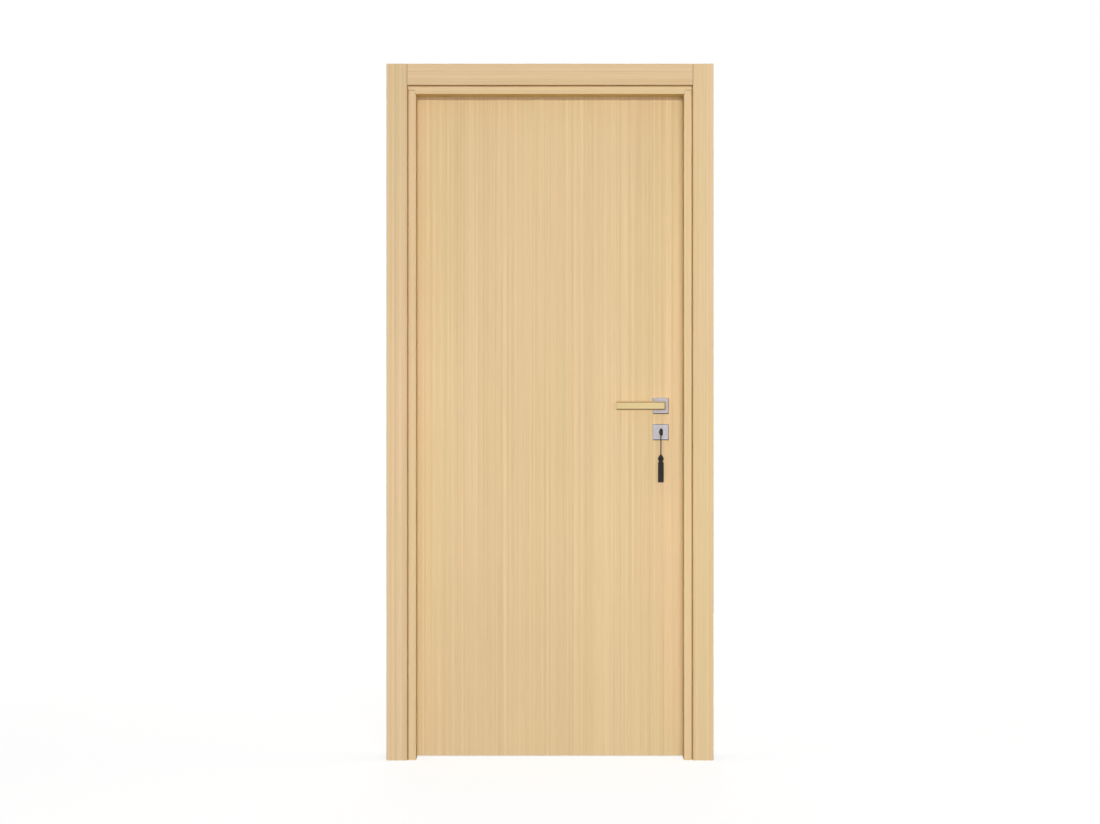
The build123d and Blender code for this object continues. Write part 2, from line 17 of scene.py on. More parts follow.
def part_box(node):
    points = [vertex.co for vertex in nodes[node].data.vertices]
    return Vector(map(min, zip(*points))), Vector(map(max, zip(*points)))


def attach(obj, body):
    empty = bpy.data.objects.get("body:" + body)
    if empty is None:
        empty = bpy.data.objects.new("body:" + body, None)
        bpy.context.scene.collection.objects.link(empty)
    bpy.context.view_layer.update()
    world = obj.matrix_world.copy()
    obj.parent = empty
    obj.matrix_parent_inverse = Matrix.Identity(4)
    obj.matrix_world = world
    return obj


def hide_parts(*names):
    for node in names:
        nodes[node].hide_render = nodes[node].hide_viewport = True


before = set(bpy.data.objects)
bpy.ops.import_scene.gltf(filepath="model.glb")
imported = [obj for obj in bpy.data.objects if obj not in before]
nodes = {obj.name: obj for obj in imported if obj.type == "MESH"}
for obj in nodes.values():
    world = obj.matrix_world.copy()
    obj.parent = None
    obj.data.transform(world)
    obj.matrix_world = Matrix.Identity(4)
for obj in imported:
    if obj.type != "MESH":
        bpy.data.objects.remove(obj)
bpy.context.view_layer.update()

# %% [markdown]
# The camera
#
# The lens is worked out from the lining: its soffit and its feet show how much smaller the leaf's
# plane is than the front of the lining. A level camera keeps the uprights parallel, and a small
# shift puts the door as high in the frame as it is in the photograph.

# %% Camera
PHOTO_WIDE = 1100
FOCAL_PIXELS = 2459
HORIZON_RISE = 14.65
SENSOR = 36.0
CAMERA_PLACE = (0.450, -7.582, 1.110)

lens = bpy.data.cameras.new("front_camera")
lens.sensor_fit = "HORIZONTAL"
lens.sensor_width = SENSOR
lens.lens = SENSOR * FOCAL_PIXELS / PHOTO_WIDE
lens.shift_y = -HORIZON_RISE / PHOTO_WIDE
camera = bpy.data.objects.new("front_camera", lens)
camera.location = CAMERA_PLACE
camera.rotation_euler = (math.radians(90), 0, 0)
bpy.context.scene.collection.objects.link(camera)
bpy.context.scene.camera = camera
print("lens", round(lens.lens, 2), "mm")

# %% [markdown]
# Meshes from lists
#
# Most pieces that are added here are swept or turned. Both come down to rings of points that are
# joined by faces, so one small builder serves them all, and several parts can be gathered in one
# mesh before it becomes an object.


# %% Mesh helpers
def add_rings(verts, faces, rings, closed=False, caps=True):
    """Joins rings of equal count by four-sided faces and closes both ends."""
    start = len(verts)
    count = len(rings[0])
    for ring in rings:
        verts.extend(ring)
    last = len(rings) if closed else len(rings) - 1
    for r in range(last):
        low = start + r * count
        high = start + ((r + 1) % len(rings)) * count
        for n in range(count):
            m = (n + 1) % count
            faces.append((low + n, low + m, high + m, high + n))
    if caps and not closed:
        end = start + (len(rings) - 1) * count
        faces.append(tuple(start + n for n in reversed(range(count))))
        faces.append(tuple(end + n for n in range(count)))


def make_piece(name, verts, faces, smooth=True):
    """Turns lists into an object of clean, outward facing faces."""
    mesh = bpy.data.meshes.new(name)
    mesh.from_pydata([tuple(v) for v in verts], [], faces)
    work = bmesh.new()
    work.from_mesh(mesh)
    bmesh.ops.recalc_face_normals(work, faces=work.faces)
    work.to_mesh(mesh)
    work.free()
    mesh.polygons.foreach_set("use_smooth", [smooth] * len(mesh.polygons))
    piece = bpy.data.objects.new(name, mesh)
    bpy.context.scene.collection.objects.link(piece)
    print(name, "faces", len(mesh.polygons))
    return piece


def circle(middle, side, up, radius, count):
    """A ring of points round a place, in the plane of two directions."""
    turns = [math.tau * k / count for k in range(count)]
    return [middle + radius * (math.cos(turn) * side + math.sin(turn) * up) for turn in turns]


def path_frames(points, closed=False):
    """A steady pair of side directions at each point of a path."""
    count = len(points)
    frames = []
    side = None
    for n in range(count):
        before = points[n - 1] if closed or n else points[n]
        after = points[(n + 1) % count] if closed or n < count - 1 else points[n]
        along = (after - before).normalized()
        if side is None:
            side = along.orthogonal().normalized()
        side = (side - along * side.dot(along)).normalized()
        frames.append((side.copy(), along.cross(side)))
    return frames


# %% [markdown]
# The cord
#
# A key's tassel hangs on a short twisted cord. Its eye goes round the key's shank, where the key
# can turn without it, and its other end runs on through the tassel's head and is knotted in the
# neck. It hangs straight, because it is limp and has a weight on it. The route is a smooth
# spline, and three strands are wound round it, as a cord maker lays them.

# %% Cord route
CORD_DIAMETER = 0.0035
CORD_HANG = 0.0623
HEAD_TALL = 0.0222
CORD_LENGTH = CORD_HANG + HEAD_TALL
CORD_X = 0.792
CORD_Y = 0.00125
CORD_TOP = 0.9956
HEAD_TOP = CORD_TOP - CORD_HANG
HEAD_END = CORD_TOP - CORD_LENGTH
STRANDS = 3
STRAND_RADIUS = 0.00092
STRAND_OFFSET = CORD_DIAMETER / 2 - STRAND_RADIUS
LAY_PITCH = 0.0085
STRAND_SIDES = 10
STRAND_STEP = 0.0005


def spline_points(name, route):
    """Reads the line of an open spline that runs through a cord's route."""
    curve = bpy.data.curves.new(name, "CURVE")
    curve.dimensions = "3D"
    curve.resolution_u = 32
    spline = curve.splines.new("NURBS")
    spline.points.add(len(route) - 1)
    for point, place in zip(spline.points, route):
        point.co = (*place, 1.0)
    spline.order_u = 3
    spline.use_endpoint_u = True
    holder = bpy.data.objects.new(name, curve)
    line = bpy.data.meshes.new_from_object(holder)
    points = [v.co.copy() for v in line.vertices]
    bpy.data.meshes.remove(line)
    bpy.data.objects.remove(holder)
    bpy.data.curves.remove(curve)
    return points


cord_route = [
    (CORD_X, CORD_Y, CORD_TOP),
    (CORD_X, CORD_Y, CORD_TOP - 0.012),
    (CORD_X, CORD_Y, CORD_TOP - 0.032),
    (CORD_X, CORD_Y, HEAD_TOP + 0.004),
    (CORD_X, CORD_Y, HEAD_TOP - 0.010),
    (CORD_X, CORD_Y, HEAD_END),
]
cord_line = spline_points("cord_route", cord_route)
print("cord points", len(cord_line))


# %% Twisted strands
def add_twist(verts, faces, points, closed=False, thin=1.0):
    """Winds three strands round a path, each with its own ring of points."""
    offset, radius = STRAND_OFFSET * thin, STRAND_RADIUS * thin
    frames = path_frames(points, closed)
    spans = [(points[n] - points[n - 1]).length for n in range(1, len(points))]
    total = sum(spans) + ((points[0] - points[-1]).length if closed else 0.0)
    turns = max(1, round(total / LAY_PITCH)) if closed else total / LAY_PITCH
    for strand in range(STRANDS):
        rings = []
        run = 0.0
        for n, (side, up) in enumerate(frames):
            if n:
                run += spans[n - 1]
            turn = math.tau * (turns * run / total + strand / STRANDS)
            middle = points[n] + offset * (math.cos(turn) * side + math.sin(turn) * up)
            rings.append(circle(middle, side, up, radius, STRAND_SIDES))
        add_rings(verts, faces, rings, closed)


def evenly(points, step):
    """Places along a path at a regular step, with both ends."""
    places = [points[0]]
    left = step
    for n in range(1, len(points)):
        span = (points[n] - points[n - 1]).length
        direction = (points[n] - points[n - 1]).normalized()
        while left <= span:
            places.append(points[n - 1] + direction * left)
            left += step
        left -= span
    if (places[-1] - points[-1]).length > step / 4:
        places.append(points[-1])
    return places


verts, faces = [], []
add_twist(verts, faces, evenly(cord_line, STRAND_STEP))
tassel_cord = make_piece("twisted_cord", verts, faces)

# %% [markdown]
# The eye and its whipping
#
# The cord's end is turned round the shank and bound down with a few turns of thin thread, which
# is called a whipping. The ring is the same three strands on a round path, and the binding is a
# thin tube on a tight helix.

# %% Eye
EYE_RADIUS = 0.0050
EYE_THIN = 0.75
EYE_LEVEL = 1.0027
EYE_POINTS = 96
WHIP_THREAD = 0.0004
WHIP_RADIUS = 0.0021
WHIP_TURNS = 7
WHIP_STEPS = 28
WHIP_OVER = 0.0012


def round_path(centre, radius, count):
    """A ring of points in an upright plane that faces the front, from the lowest one on."""
    return circle(centre, Vector((0, 0, -1)), Vector((1, 0, 0)), radius, count)


def helix(centre, radius, pitch, turns, steps):
    """Points on a helix that climbs straight up from its centre."""
    points = []
    for n in range(round(turns * steps) + 1):
        angle = math.tau * n / steps
        rise = pitch * n / steps
        points.append(centre + Vector((radius * math.cos(angle), radius * math.sin(angle), rise)))
    return points


def add_tube(verts, faces, points, radius, sides=8):
    """A round tube of one thickness along a path."""
    places = zip(points, path_frames(points))
    add_rings(verts, faces, [circle(p, side, up, radius, sides) for p, (side, up) in places])


verts, faces = [], []
eye_centre = Vector((CORD_X, CORD_Y, EYE_LEVEL))
add_twist(verts, faces, round_path(eye_centre, EYE_RADIUS, EYE_POINTS), closed=True, thin=EYE_THIN)
whip_pitch = 2 * WHIP_THREAD
whip_low = Vector((CORD_X, CORD_Y, CORD_TOP - WHIP_TURNS * whip_pitch + WHIP_OVER))
whip_line = helix(whip_low, WHIP_RADIUS - WHIP_THREAD, whip_pitch, WHIP_TURNS, WHIP_STEPS)
add_tube(verts, faces, whip_line, WHIP_THREAD)
tassel_eye = make_piece("cord_eye", verts, faces)

# %% [markdown]
# The tassel's head
#
# Threads are laid over a small pear shaped mould and tied in below it. The head is a turned
# profile whose radius rises and falls with every thread, so the ribs are real and catch the light
# at any distance. They lean a little, because the threads are drawn on with a twist.

# %% Head
HEAD_PROFILE = [
    (0.0, 2.2), (1.4, 3.2), (3.2, 4.2), (5.4, 5.8), (7.8, 7.5), (10.2, 8.6),
    (12.6, 8.9), (15.0, 8.6), (17.4, 7.8), (19.8, 6.6), (22.2, 5.9),
]
MILLI = 0.001
HEAD_RIBS = 34
HEAD_SIDES = HEAD_RIBS * 6
HEAD_RINGS = 56
RIB_HIGH = 0.00022
RIB_FULL_AT = 0.006
HEAD_TWIST = 0.7
EASED = 0.4


def smooth_profile(profile, where):
    """A radius between the profile's given places, partly eased at each of them."""
    for (low, first), (high, second) in zip(profile, profile[1:]):
        if where <= high:
            share = (where - low) / (high - low)
            share = share * share * (3 - 2 * share) * EASED + share * (1 - EASED)
            return first + (second - first) * share
    return profile[-1][1]


def round_cord(radius, angle, level):
    """A place at a distance and an angle from the cord's line."""
    return Vector((CORD_X + radius * math.cos(angle), CORD_Y + radius * math.sin(angle), level))


verts, faces = [], []
rings = []
for n in range(HEAD_RINGS + 1):
    drop = HEAD_TALL * n / HEAD_RINGS
    radius = smooth_profile(HEAD_PROFILE, drop / MILLI) * MILLI
    ring = []
    for k in range(HEAD_SIDES):
        angle = math.tau * k / HEAD_SIDES
        lean = HEAD_TWIST * n / HEAD_RINGS
        rib = RIB_HIGH * abs(math.sin(HEAD_RIBS * (angle + lean) / 2))
        out = radius + rib * min(1.0, radius / RIB_FULL_AT) - RIB_HIGH / 2
        ring.append(round_cord(out, angle, HEAD_TOP - drop))
    rings.append(ring)
add_rings(verts, faces, rings)
tassel_head = make_piece("tassel_head", verts, faces)

# %% [markdown]
# The skirt
#
# Under the tie the threads hang free and are cut level with one stroke. Each one here is its own
# thin tube on a slightly wandering line, set in circles from the middle outwards, so the outside
# shows real threads with shadow between them.

# %% Skirt
SKIRT_END = HEAD_END - 0.0633
SKIRT_SHOULDER = 0.003
SKIRT_CIRCLES = [(0.0083, 42), (0.0069, 34), (0.0054, 26), (0.0039, 17), (0.0023, 10), (0.0008, 4)]
NECK_SHARE = 0.60
THREAD_RADIUS = 0.00067
THREAD_SIDES = 7
THREAD_STEPS = 22
THREAD_WANDER = 0.00022
THREAD_WAVES = (0.8, 1.8)
WANDER_LEAST_RADIUS = 0.002
WANDER_INWARD = 0.4
STEP_GROWTH = 1.25
CUT_UNEVEN = 0.0007
TIE_TURNS = 5
TIE_THREAD = 0.00045
TIE_RADIUS = 0.0055
chance = random.Random(11)


def hanging_thread(radius, angle):
    """One thread from the neck to the cut, with a slow wander of its own."""
    phase = chance.uniform(0, math.tau)
    waves = chance.uniform(*THREAD_WAVES)
    end = SKIRT_END + chance.uniform(0.0, CUT_UNEVEN)
    points = []
    for n in range(THREAD_STEPS + 1):
        share = n / THREAD_STEPS
        level = HEAD_END + (end - HEAD_END) * share ** STEP_GROWTH
        open_share = min(1.0, (HEAD_END - level) / SKIRT_SHOULDER)
        spread = NECK_SHARE + (1 - NECK_SHARE) * math.sin(open_share * math.pi / 2)
        wander = THREAD_WANDER * open_share * math.sin(phase + waves * math.tau * share)
        turn = angle + wander / max(radius, WANDER_LEAST_RADIUS)
        out = radius * spread - abs(wander) * WANDER_INWARD
        points.append(round_cord(out, turn, level))
    return points


verts, faces = [], []
for radius, count in SKIRT_CIRCLES:
    start = chance.uniform(0, math.tau)
    for n in range(count):
        thread = hanging_thread(radius, start + math.tau * n / count)
        add_tube(verts, faces, thread, THREAD_RADIUS, THREAD_SIDES)
tie_low = Vector((CORD_X, CORD_Y, HEAD_END - TIE_TURNS * TIE_THREAD))
tie_line = helix(tie_low, TIE_RADIUS, 2 * TIE_THREAD, TIE_TURNS, WHIP_STEPS)
add_tube(verts, faces, tie_line, TIE_THREAD)
tassel_skirt = make_piece("tassel_threads", verts, faces)

# %% Tassel rides and takes its nodes' places
for piece, node in (
    (tassel_cord, "tassel_cord"),
    (tassel_eye, "tassel_loop"),
    (tassel_head, "tassel_knot"),
    (tassel_skirt, "tassel_skirt"),
):
    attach(piece, "tassel")
    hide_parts(node)

# %% [markdown]
# The key's grip
#
# The grip is a moulding over the key's bow, a rounded slab with a shallow hollow for the thumb in
# each cheek. A rounded solid of powers gives the shape, and the hollows are pressed in.

# %% Grip
GRIP_ROUND_SIDE = 3.6
GRIP_ROUND_FRONT = 3.0
GRIP_RINGS = 48
GRIP_SIDES = 72
HOLLOW_DEEP = 0.00096
HOLLOW_SHARE = 0.62


def power(value, exponent):
    """A power that keeps the sign of its base."""
    return math.copysign(abs(value) ** exponent, value)


low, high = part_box("key_grip")
middle = (low + high) / 2
half = (high - low) / 2
verts, faces = [], []
rings = []
for n in range(1, GRIP_RINGS):
    polar = math.pi * n / GRIP_RINGS
    ring = []
    for k in range(GRIP_SIDES):
        round_angle = math.tau * k / GRIP_SIDES
        spread = power(math.sin(polar), 2 / GRIP_ROUND_FRONT)
        x = half.x * power(math.cos(polar), 2 / GRIP_ROUND_FRONT)
        y = half.y * spread * power(math.cos(round_angle), 2 / GRIP_ROUND_SIDE)
        z = half.z * spread * power(math.sin(round_angle), 2 / GRIP_ROUND_SIDE)
        away = math.hypot(y / half.y, z / half.z) / HOLLOW_SHARE
        if away < 1:
            x -= math.copysign(HOLLOW_DEEP * (1 - away * away) ** 2, x)
        ring.append(Vector((middle.x + x, middle.y + y, middle.z + z)))
    rings.append(ring)
add_rings(verts, faces, rings)
key_moulding = make_piece("key_moulding", verts, faces)
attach(key_moulding, "key")
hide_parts("key_grip")

# %% [markdown]
# Screws
#
# Raised countersunk screws hold the hinges, the strike plate and the lock's forend, and a small
# socket screw holds each lever. One head is drawn flat with its recess open, then domed, and
# copies are set on every plate.

# %% Screw heads
HEAD_RADIUS = 0.0038
HEAD_DOME = 0.0006
RECESS_DEEP = 0.0011
RECESS_TAPER = 0.6
RIM_SIDES = 36
CROSS_LONG = 0.0019
CROSS_HALF = 0.00045
SOCKET_RADIUS = 0.0022
SOCKET_DOME = 0.0002
SOCKET_HALF = 0.0011
SOCKET_DEEP = 0.0012


def cross_outline():
    """The twelve corners of a cross recess."""
    corners = []
    for quarter in range(4):
        turn = Matrix.Rotation(quarter * math.pi / 2, 2)
        for x, y in ((CROSS_LONG, -CROSS_HALF), (CROSS_LONG, CROSS_HALF), (CROSS_HALF, CROSS_HALF)):
            corners.append(turn @ Vector((x, y)))
    return corners


def many_sided(radius, sides):
    """The corners of a regular outline."""
    turns = [math.tau * n / sides for n in range(sides)]
    return [Vector((radius * math.cos(turn), radius * math.sin(turn))) for turn in turns]


def screw_head(radius, dome, recess, deep):
    """A domed head with an open recess, as lists of points and faces about the origin."""
    work = bmesh.new()

    def lift(place):
        share = min(1.0, place.length / radius)
        return dome * (1 - share * share)

    def loop(outline):
        points = [work.verts.new((p.x, p.y, lift(p))) for p in outline]
        return points, [work.edges.new((points[n - 1], points[n])) for n in range(len(points))]

    rim, rim_edges = loop(many_sided(radius, RIM_SIDES))
    mouth, mouth_edges = loop(recess)
    bmesh.ops.triangle_fill(work, edges=rim_edges + mouth_edges, use_beauty=True)
    floor = [work.verts.new((v.co.x * RECESS_TAPER, v.co.y * RECESS_TAPER, -deep)) for v in mouth]
    skirt = [work.verts.new((v.co.x, v.co.y, -deep)) for v in rim]
    for top, bottom in ((mouth, floor), (rim, skirt)):
        for n in range(len(top)):
            work.faces.new((top[n - 1], top[n], bottom[n], bottom[n - 1]))
    work.faces.new(floor)
    work.verts.index_update()
    points = [v.co.copy() for v in work.verts]
    faces = [tuple(v.index for v in f.verts) for f in work.faces]
    work.free()
    return points, faces


cross_head = screw_head(HEAD_RADIUS, HEAD_DOME, cross_outline(), RECESS_DEEP)
socket_head = screw_head(SOCKET_RADIUS, SOCKET_DOME, many_sided(SOCKET_HALF, 6), SOCKET_DEEP)
print("screw head faces", len(cross_head[1]), len(socket_head[1]))

# %% Screws on their plates
PLATE_ROWS = [(0.010, -0.038), (0.021, -0.0165), (0.010, 0.0165), (0.021, 0.038)]
FRAME_PLATE_X = 0.030
LEAF_PLATE_X = 0.035
STRIKE_LOW, STRIKE_HIGH = 0.010, 0.012
FOREND_INSET = 0.010
HANDLE_LEVEL = 1.084
LEAF_FRONT, LEAF_BACK = 0.018, 0.058
NECK_MIDDLE = 0.024
NECK_RADIUS = 0.0104
SOCKET_TURN = 0.3


def gather(name, head, places):
    """Copies of one head, each turned to its plate's face, in one piece."""
    verts, faces = [], []
    for place, outward, turn in places:
        stand = Vector(outward).to_track_quat("Z", "Y").to_matrix().to_4x4()
        matrix = Matrix.Translation(place) @ stand @ Matrix.Rotation(turn, 4, "Z")
        start = len(verts)
        verts += [matrix @ v for v in head[0]]
        faces += [tuple(start + n for n in face) for face in head[1]]
    return make_piece(name, verts, faces, smooth=False)


frame_places, leaf_places, neck_places = [], [], []
for level in ("lower", "middle", "upper"):
    for part, places, face_x, outward in (
        ("frame", frame_places, FRAME_PLATE_X, (1, 0, 0)),
        ("leaf", leaf_places, LEAF_PLATE_X, (-1, 0, 0)),
    ):
        low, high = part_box(f"{level}_hinge_{part}_half")
        mid_z = (low.z + high.z) / 2
        for y, z in PLATE_ROWS:
            places.append(((face_x, low.y + y, mid_z + z), outward, chance.uniform(0, math.pi)))
low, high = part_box("strike_plate")
mid_y = (low.y + high.y) / 2
for z in (low.z + STRIKE_LOW, high.z - STRIKE_HIGH):
    frame_places.append(((low.x, mid_y, z), (-1, 0, 0), chance.uniform(0, math.pi)))
low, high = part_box("lock_case")
for z in (low.z + FOREND_INSET, high.z - FOREND_INSET):
    leaf_places.append(((high.x, mid_y, z), (1, 0, 0), chance.uniform(0, math.pi)))
for y in (LEAF_FRONT - NECK_MIDDLE, LEAF_BACK + NECK_MIDDLE):
    neck_places.append(((CORD_X, y, HANDLE_LEVEL - NECK_RADIUS), (0, 0, -1), SOCKET_TURN))
screws = [
    (gather("frame_screws", cross_head, frame_places), "frame", "hinge_steel"),
    (gather("leaf_screws", cross_head, leaf_places), "leaf", "hinge_steel"),
    (gather("neck_screws", socket_head, neck_places), "handle", "lock_steel"),
]
for piece, body, slot in screws:
    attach(piece, body)
print("screws", len(frame_places) + len(leaf_places) + len(neck_places))

# %% [markdown]
# Shader helpers
#
# A finish is a small network of nodes, and a group is a part of one that has a name. Colours are
# given as they look on a screen and turned into the straight values that light works with.


# %% Node helpers
def screen(red, green, blue):
    """A colour as seen on a screen, from 0 to 255, in the values that shaders use."""
    straight = []
    for part in (red, green, blue):
        share = part / 255
        straight.append(share / 12.92 if share <= 0.04045 else ((share + 0.055) / 1.055) ** 2.4)
    return (*straight, 1.0)


def fill(tree, sockets, values):
    """Gives sockets their values: numbers, colours or links from other nodes."""
    for label, value in values.items():
        if isinstance(value, bpy.types.NodeSocket):
            tree.links.new(value, sockets[label])
        else:
            sockets[label].default_value = value


def add(tree, kind, values=None, **settings):
    """Adds a node of a kind, with its settings and values."""
    made = tree.nodes.new("ShaderNode" + kind)
    for label, setting in settings.items():
        setattr(made, label, setting)
    fill(tree, made.inputs, values or {})
    return made


def calc(tree, operation, first, second=0.0, clamp=False):
    """One step of arithmetic on values."""
    values = {0: first, 1: second}
    return add(tree, "Math", values, operation=operation, use_clamp=clamp).outputs[0]


def times(tree, first, second, clamp=False):
    return calc(tree, "MULTIPLY", first, second, clamp)


def plus(tree, first, second, clamp=False):
    return calc(tree, "ADD", first, second, clamp)


def minus(tree, first, second):
    return calc(tree, "SUBTRACT", first, second)


def reckon(tree, operation, first, second):
    """One step of arithmetic on places."""
    return add(tree, "VectorMath", {0: first, 1: second}, operation=operation).outputs[0]


def noise(tree, place, run, detail=2.0, roughness=0.5):
    """Soft random values from 0 to 1; run gives the bumps in a metre along each axis."""
    place = reckon(tree, "MULTIPLY", place, run)
    values = {"Vector": place, "Scale": 1.0, "Detail": detail, "Roughness": roughness}
    return add(tree, "TexNoise", values).outputs["Fac"]


def span(tree, value, low, high, to_low=0.0, to_high=1.0):
    """Maps one range of values softly on another."""
    values = dict(enumerate((value, low, high, to_low, to_high)))
    return add(tree, "MapRange", values, interpolation_type="SMOOTHSTEP").outputs["Result"]


def between(tree, value, low, high):
    """One inside a range, nought outside it."""
    above = calc(tree, "GREATER_THAN", value, low)
    return times(tree, above, calc(tree, "LESS_THAN", value, high))


def mix_values(tree, share, first, second):
    """Mixes two values by a share from 0 to 1."""
    return add(tree, "Mix", {0: share, 2: first, 3: second}).outputs[0]


def blend(tree, share, first, second, kind="MIX"):
    """Mixes two colours by a share from 0 to 1."""
    values = {0: share, 6: first, 7: second}
    return add(tree, "Mix", values, data_type="RGBA", blend_type=kind).outputs[2]


def facing(tree, axis):
    """How far a face looks along an axis, from -1 to 1."""
    normal = add(tree, "TexCoord").outputs["Normal"]
    return add(tree, "SeparateXYZ", {0: normal}).outputs[axis]


def open_group(name, inputs, outputs):
    """A new node group that is given a place and more; sockets are named with their kinds."""
    group = bpy.data.node_groups.new(name, "ShaderNodeTree")
    for way, sockets in (("INPUT", {"Place": "Vector", **inputs}), ("OUTPUT", outputs)):
        for label, kind in sockets.items():
            group.interface.new_socket(label, in_out=way, socket_type="NodeSocket" + kind)
    given = group.nodes.new("NodeGroupInput").outputs
    wanted = group.nodes.new("NodeGroupOutput").inputs
    return group, given, wanted


def close_group(tree, wanted, **results):
    """Links a group's results to its outputs."""
    fill(tree, wanted, results)
    print(tree.name, "nodes", len(tree.nodes))


def put(tree, name, values):
    """Places a group in a material and gives its outputs."""
    return add(tree, "Group", values, node_tree=bpy.data.node_groups[name]).outputs


# %% [markdown]
# The veneer's figure
#
# The veneer is straight grained and matt. Close to, it is fine lines a millimetre or two wide;
# from a few metres it is soft stripes that run nearly the whole height, with short darker dashes
# between them. Each layer is noise drawn out along the grain, so the figure stays true to scale
# and runs round the edges. Another noise fades the stripes, or they would look printed.

# %% Veneer group
# Bumps in a metre across and along the grain, then the noise's detail and roughness.
LAYERS = {
    "clouds": (3.0, 1.4, 1.0, 0.5),
    "bands": (24.0, 0.25, 1.0, 0.5),
    "stripes": (190.0, 0.35, 1.0, 0.4),
    "fading": (45.0, 4.0, 1.0, 0.5),
    "dashes": (200.0, 9.0, 1.0, 0.5),
    "hairs": (620.0, 9.0, 2.0, 0.6),
    "pores": (2400.0, 60.0, 1.0, 0.5),
    "drift": (9.0, 1.3, 1.0, 0.5),
    "patches": (55.0, 3.0, 1.0, 0.5),
}
TONE_STRENGTHS = {"clouds": 0.35, "bands": 0.28, "dashes": 0.26, "hairs": 0.50, "pores": 0.25}
STRIPE_STRENGTH = 1.05
STRIPE_FADING = (0.5, 1.3)
DASH_DARK, PORE_DARK = 0.16, 0.10
SWAY_PER_METRE, SWAY = (2.0, 2.0, 0.7), 0.003
BLUSH = 0.4
LACQUER_ROUGHNESS = (0.50, 0.60)
tree, given, wanted = open_group(
    "veneer_figure",
    dict(Board="Vector", Pale="Color", Deep="Color", Cool="Color", Warm="Color", Streaks="Float"),
    dict(Color="Color", Height="Float", Roughness="Float"),
)
moved = reckon(tree, "ADD", given["Place"], given["Board"])
sway = noise(tree, moved, SWAY_PER_METRE, 1.0)
sway = times(tree, minus(tree, sway, 0.5), SWAY)
shift = add(tree, "CombineXYZ", {"X": sway, "Y": sway}).outputs[0]
moved = reckon(tree, "ADD", moved, shift)
layers = {}
for label, (across, along, detail, roughness) in LAYERS.items():
    layers[label] = noise(tree, moved, (across, across, along), detail, roughness)

fading = span(tree, layers["fading"], 0.3, 0.7, *STRIPE_FADING)
dark_dashes = span(tree, layers["dashes"], 0.60, 0.74)
open_pores = span(tree, layers["pores"], 0.60, 0.75)
tone = times(tree, minus(tree, layers["stripes"], 0.5), fading)
tone = times(tree, tone, STRIPE_STRENGTH)
for label, strength in TONE_STRENGTHS.items():
    part = times(tree, minus(tree, layers[label], 0.5), strength)
    tone = plus(tree, tone, part)
tone = minus(tree, tone, times(tree, dark_dashes, DASH_DARK))
tone = minus(tree, tone, times(tree, open_pores, PORE_DARK))
tone = plus(tree, times(tree, tone, given["Streaks"]), 0.5, clamp=True)
ground = blend(tree, tone, given["Deep"], given["Pale"])
tint = blend(tree, span(tree, layers["drift"], 0.35, 0.65), given["Cool"], given["Warm"])
toned = blend(tree, 1.0, ground, tint, "MULTIPLY")
blushed = span(tree, layers["patches"], 0.5, 0.7, 0.0, BLUSH)
blush = blend(tree, blushed, (1.0, 1.0, 1.0, 1.0), given["Warm"])
colour = blend(tree, 1.0, toned, blush, "MULTIPLY")
raised = times(tree, layers["hairs"], 0.5)
height = minus(tree, raised, times(tree, open_pores, 0.6))
roughness = span(tree, layers["stripes"], 0.3, 0.7, *LACQUER_ROUGHNESS)
close_group(tree, wanted, Color=colour, Height=height, Roughness=roughness)

# %% [markdown]
# Edge wear
#
# Lacquer wears thin along an arris and plating polishes bright there. The same mask also puts
# painted light on edges: a painted highlight along the veneer's arrises and painted shade along
# the lever's. The mask compares the true surface direction with one that is rounded over a small
# radius: they differ only near an edge. A slow noise breaks the line up, because wear is never
# even.

# %% Edge group
WEAR_SAMPLES = 6
WEAR_TURN = (0.02, 0.25)
WEAR_PER_METRE = 90.0
LEAST_WEAR = 0.45
tree, given, wanted = open_group(
    "edge_mask_wear_and_light", dict(Width="Float", Amount="Float"), dict(Mask="Float")
)
rounded = add(tree, "Bevel", {"Radius": given["Width"]}, samples=WEAR_SAMPLES).outputs[0]
plain = add(tree, "NewGeometry").outputs["Normal"]
likeness = add(tree, "VectorMath", {0: rounded, 1: plain}, operation="DOT_PRODUCT")
turned_away = minus(tree, 1.0, likeness.outputs["Value"])
turned_away = span(tree, turned_away, *WEAR_TURN)
uneven = noise(tree, given["Place"], [WEAR_PER_METRE] * 3, 3.0)
broken = span(tree, uneven, 0.3, 0.65, LEAST_WEAR, 1.0)
mask = times(tree, turned_away, broken)
mask = times(tree, mask, given["Amount"], clamp=True)
close_group(tree, wanted, Mask=mask)


def rubbed_and_painted_edges(tree, place, width, amount):
    """The mask of worn edges, and of painted light along them, placed in a material."""
    return put(tree, "edge_mask_wear_and_light", {"Place": place, "Width": width, "Amount": amount})["Mask"]


# %% [markdown]
# Bare board
#
# The lining and the casings are pressed board under their veneer. It shows only on the faces that
# meet the wall, in the kerfs, and on the sawn ends. One mask finds the wall's side by its place,
# another the level cuts at floor and top by the way that they face.

# %% Bare board group
WALL_SIDE = 0.0504
LINING_WIDE = 0.900
LEG_BACK = 0.0158
HEAD_BACK = 2.0625
FOOT_CUT, TOP_CUT = 0.001, 2.1295
LEVEL_FACE = 0.9
FIBRES_PER_METRE, CLUMPS_PER_METRE = 700.0, 60.0
BOARD_DARK, BOARD_PALE = screen(150, 116, 80), screen(196, 160, 118)
BOARD_CLUMP = screen(160, 128, 92)
tree, given, wanted = open_group(
    "bare_board", {}, dict(Mask="Float", Color="Color", Height="Float")
)
place = add(tree, "SeparateXYZ", {0: given["Place"]}).outputs
within = calc(tree, "LESS_THAN", calc(tree, "ABSOLUTE", place["Y"]), WALL_SIDE)
off_middle = calc(tree, "ABSOLUTE", minus(tree, place["X"], LINING_WIDE / 2))
beside = calc(tree, "GREATER_THAN", off_middle, LINING_WIDE / 2 - LEG_BACK)
above = calc(tree, "GREATER_THAN", place["Z"], HEAD_BACK)
hidden = times(tree, within, calc(tree, "MAXIMUM", beside, above))
